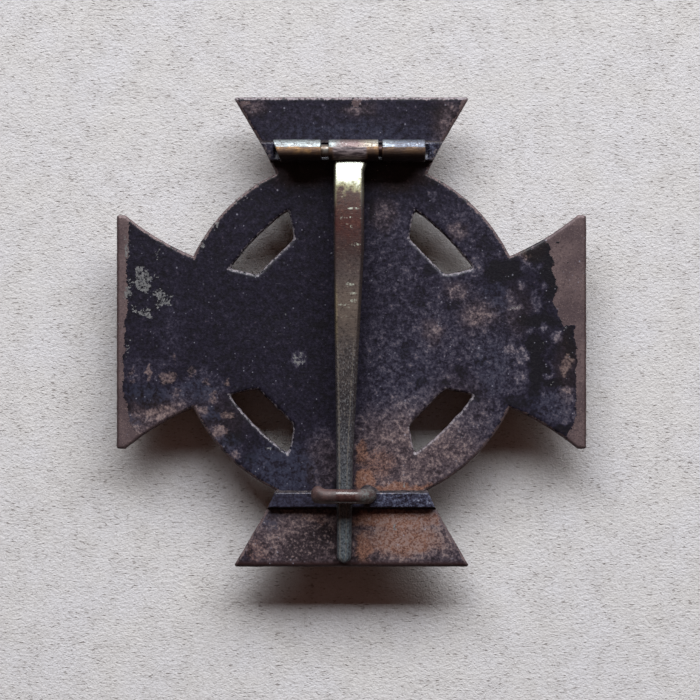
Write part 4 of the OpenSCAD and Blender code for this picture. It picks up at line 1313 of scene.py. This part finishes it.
def make_strip(name, node, material, groove):
    """A strip across an arm, flush with its sides, with rounded long edges."""
    low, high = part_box(node)
    thick = high.z - low.z
    r, steps, stations = 0.1 * MM, 12, 150
    tube_half_l, wide_half_l, wide_gap, tube_gap = 6.9 * MM, 2.75 * MM, 1.15 * MM, 0.97 * MM
    end_round, end_drop, dent, side_dent = 0.16 * MM, 0.12 * MM, 0.012 * MM, 0.03 * MM
    bm = bmesh.new()
    worn = bm.verts.layers.float.new("worn")
    section = [(low.y, low.z)]
    section += [(low.y + r - r * math.cos(a), high.z - r + r * math.sin(a)) for a in quarter_turn(4)]
    section += [(low.y + r + (high.y - low.y - 2 * r) * i / steps, high.z) for i in range(1, steps)]
    section += [(high.y - r + r * math.sin(a), high.z - r + r * math.cos(a)) for a in quarter_turn(4)]
    section += [(high.y, low.z)]
    rows = []
    for i in range(stations + 1):
        share = 2 * i / stations - 1
        row = []
        for y, z in section:
            limit = half_width(y) - 0.02 * MM
            x = share * limit
            end = smooth(limit - abs(x), end_round, 0.0)
            top = z - end_drop * end * (z - low.z) / thick
            top += dent * wobble(x, y, z, 0.7 * MM, 1.9) * (1 if z > low.z + 0.2 * MM else 0)
            if groove and abs(x) < tube_half_l:
                gap = wide_gap if abs(x) < wide_half_l else tube_gap
                inside = gap * gap - (y - HINGE_Y) ** 2
                if inside > 0:
                    top = min(top, HINGE_Z - math.sqrt(inside))
            shift = side_dent * wobble(x, 0, z, 0.9 * MM, 5.3) if z > low.z + 0.1 * MM else 0.0
            row.append((x, y + shift, max(top, low.z + 0.01 * MM) if z > low.z else low.z))
        rows.append(row)
    for i, row in enumerate(solid(bm, rows)):
        ends = smooth(abs(2 * i / stations - 1), 0.82, 1.0)
        for (y, z), vertex in zip(section, row):
            # the long edge that faces the light is lighter than the other: chipped lacquer and a painted
            # highlight
            edge = 1 if abs(y - low.y) < 1.5 * r or abs(y - high.y) < 1.5 * r else 0
            vertex[worn] = max((0.5 if groove else 0.2) * ends, 0.4 * edge if y > low.y + 2 * r else 0.15)
    return build(name, bm, [material], "badge", node, 40)


def make_solder_seams(name, node, strip, material):
    """A lumpy fillet of solder along both long edges of a strip."""
    strip_low, strip_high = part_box(strip)
    leg, stations, least, most = 0.22 * MM, 140, 0.3, 1.05
    fillet = ((-0.05, 0.0), (-0.05, 1.0), (0.1, 0.85), (0.3, 0.48), (0.6, 0.2), (1.0, 0.03), (1.0, 0.0))
    bm = bmesh.new()
    for edge_y, away in ((strip_low.y, -1), (strip_high.y, 1)):
        rows = []
        for i in range(stations + 1):
            share = 2 * i / stations - 1
            row = []
            for u, v in fillet:
                y = edge_y + away * u * leg
                x = share * (half_width(y) - 0.03 * MM)
                lump = 0.8 + 0.35 * wobble(x, edge_y, v, 1.1 * MM, 2.6)
                lump += 0.2 * wobble(x, edge_y, v, 0.35 * MM, 9.6)
                lump = min(most, max(least, lump))
                row.append((x, edge_y + away * (u * lump if u > 0 else u) * leg, BACK_Z + v * lump * leg))
            rows.append(row)
        solid(bm, rows)
    return build(name, bm, [material], "badge", node, 50)


HOOK_BEND_R = 0.95 * MM
HOOK_CURL = math.radians(65)


def make_hook(material):
    """Round wire: an upright foot, a bend, a top that passes over the needle and an open curled end."""
    low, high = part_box("catch_hook")
    wire_r = (high.y - low.y) / 2
    hook_y = (high.y + low.y) / 2
    foot_x = high.x - wire_r
    top_z = high.z - wire_r
    bend_z = top_z - HOOK_BEND_R
    curl_x = -2.2 * MM
    foot_steps, top_steps, curl_steps = 6, 16, 14
    start = foot_x - HOOK_BEND_R
    # each point of the wire's path is x, z and heading
    path = [(foot_x, BACK_Z + (bend_z - BACK_Z) * i / foot_steps, math.pi / 2) for i in range(foot_steps)]
    for a in quarter_turn(12):
        z = bend_z + HOOK_BEND_R * math.sin(a)
        path.append((start + HOOK_BEND_R * math.cos(a), z, math.pi / 2 + a))
    path += [(start + (curl_x - start) * i / top_steps, top_z, math.pi) for i in range(1, top_steps + 1)]
    for i in range(1, curl_steps + 1):
        a = HOOK_CURL * i / curl_steps
        path.append((curl_x - HOOK_BEND_R * math.sin(a), bend_z + HOOK_BEND_R * math.cos(a), math.pi + a))
    bm = bmesh.new()
    rows = []
    around, dents, noise_step = 32, 0.025, 0.2 * MM
    wider, thinner, aside = 0.2, 0.1, 0.14 * MM
    total = len(path) - 1
    for i, (x, z, heading) in enumerate(path):
        t = i / total
        nx, nz = -math.sin(heading), math.cos(heading)
        flat = smooth(t, 0.72, 0.95)
        row = []
        for j in range(around):
            a = math.tau * j / around
            r = wire_r * (1 + dents * wobble(x, j * noise_step, z, 0.9 * MM, 3.3) - 0.02)
            u = r * math.cos(a) * (1 + wider * flat)
            v = -r * math.sin(a) * (1 - thinner * flat)
            row.append((x + nx * v, hook_y + u + aside * flat, z + nz * v))
        rows.append(row)
    x, z, heading = path[-1]
    dx, dz = math.cos(heading), math.sin(heading)
    last = rows[-1]
    middle = sum((Vector(point) for point in last), Vector()) / around
    for shrink, ahead in ((0.93, 0.05 * MM), (0.72, 0.1 * MM)):
        forward = Vector((dx, 0, dz)) * ahead
        rows.append([middle + (Vector(point) - middle) * shrink + forward for point in last])
    solid(bm, rows)
    return build("hook_wire", bm, [material], "badge", "catch_hook", 60)


def make_hook_solder(material):
    """A lumpy cone of solder round the hook's foot."""
    low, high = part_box("hook_solder")
    hook_low, hook_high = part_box("catch_hook")
    cx = hook_high.x - (hook_high.y - hook_low.y) / 2
    cy = (hook_high.y + hook_low.y) / 2
    around, lump_size, lumpiness = 48, 0.6 * MM, 0.1
    # the cone's radius in millimetres at shares of its height
    cone = ((0.0, 0.95), (0.15, 0.88), (0.35, 0.8), (0.6, 0.75), (0.8, 0.71), (0.95, 0.69), (1.0, 0.6))
    bm = bmesh.new()
    rows = []
    for share, r in cone:
        row = []
        for x, y in circle(MM, around):
            lump = 1 + lumpiness * wobble(x, y, share * MM, lump_size, 4.4)
            row.append((cx + r * lump * x, cy + r * lump * y, low.z + (high.z - low.z) * share))
        rows.append(row)
    solid(bm, rows)
    return build("foot_solder", bm, [material], "badge", "hook_solder", 60)


# ---------------------------------------------------------------- floor, light and camera
VIEW_W = 62.56 * MM
CAMERA_UP = 250 * MM
LOOK_AT = Vector((-0.134 * MM, -1.609 * MM, BACK_Z))
FLOOR_HALF_W = 0.6
FLOOR_GAP = 0.01 * MM
WINDOW_PLACE = (0.12, 0.6, 0.41)
WINDOW_TARGET = (0.12, 0.0, 0.41)
WINDOW_W = 1.16
WINDOW_H = 0.38
WINDOW_POWER = 16.7
WINDOW_COLOUR = (0.965, 1.0, 1.02)
ROOM_COLOUR = (0.056, 0.032, 0.026, 1)


def make_floor():
    """A sheet of pale card just under the badge."""
    bm = bmesh.new()
    bmesh.ops.create_grid(bm, x_segments=40, y_segments=40, size=FLOOR_HALF_W)
    mesh = bpy.data.meshes.new("floor")
    bm.to_mesh(mesh)
    bm.free()
    mesh.materials.append(floor_material())
    floor = bpy.data.objects.new("floor", mesh)
    floor.location.z = -FLOOR_GAP
    bpy.context.scene.collection.objects.link(floor)


def make_light():
    """One soft window beyond the hinge, and a faint warm room."""
    world = bpy.data.worlds.new("room")
    world.use_nodes = True
    background = world.node_tree.nodes["Background"]
    background.inputs["Color"].default_value = ROOM_COLOUR
    background.inputs["Strength"].default_value = 1.0
    bpy.context.scene.world = world
    data = bpy.data.lights.new("window", "AREA")
    data.shape = "RECTANGLE"
    data.size = WINDOW_W
    data.size_y = WINDOW_H
    data.energy = WINDOW_POWER
    data.color = WINDOW_COLOUR
    light = bpy.data.objects.new("window", data)
    light.location = WINDOW_PLACE
    towards = Vector(WINDOW_TARGET) - Vector(WINDOW_PLACE)
    light.rotation_euler = towards.to_track_quat("-Z", "Y").to_euler()
    bpy.context.scene.collection.objects.link(light)


def make_camera():
    """A camera that looks straight down at the badge's back."""
    data = bpy.data.cameras.new("camera")
    data.lens = data.sensor_width * CAMERA_UP / VIEW_W
    data.clip_start = 0.01
    data.clip_end = 10
    camera = bpy.data.objects.new("camera", data)
    camera.location = LOOK_AT + Vector((0, 0, CAMERA_UP))
    bpy.context.scene.collection.objects.link(camera)
    bpy.context.scene.camera = camera


make_camera()
make_light()
make_floor()

bronze = bronze_material()
brass = brass_tube_material()
strip = strip_material()
solder = solder_material()

make_cross_plate()
make_medallion(bronze)
make_rope_border(bronze)
make_rosette(bronze)
make_strip("hinge_base", "hinge_strip", strip, groove=True)
make_solder_seams("hinge_seams", "hinge_strip_solder", "hinge_strip", solder)
make_knuckle("left", brass)
make_knuckle("right", brass)
make_rod(steel_material())
make_needle(needle_material(), brass)
make_strip("catch_base", "catch_strip", strip, groove=False)
make_solder_seams("catch_seams", "catch_strip_solder", "catch_strip", solder)
make_hook(copper_material())
make_hook_solder(solder)

bpy.context.scene.view_settings.view_transform = "Standard"
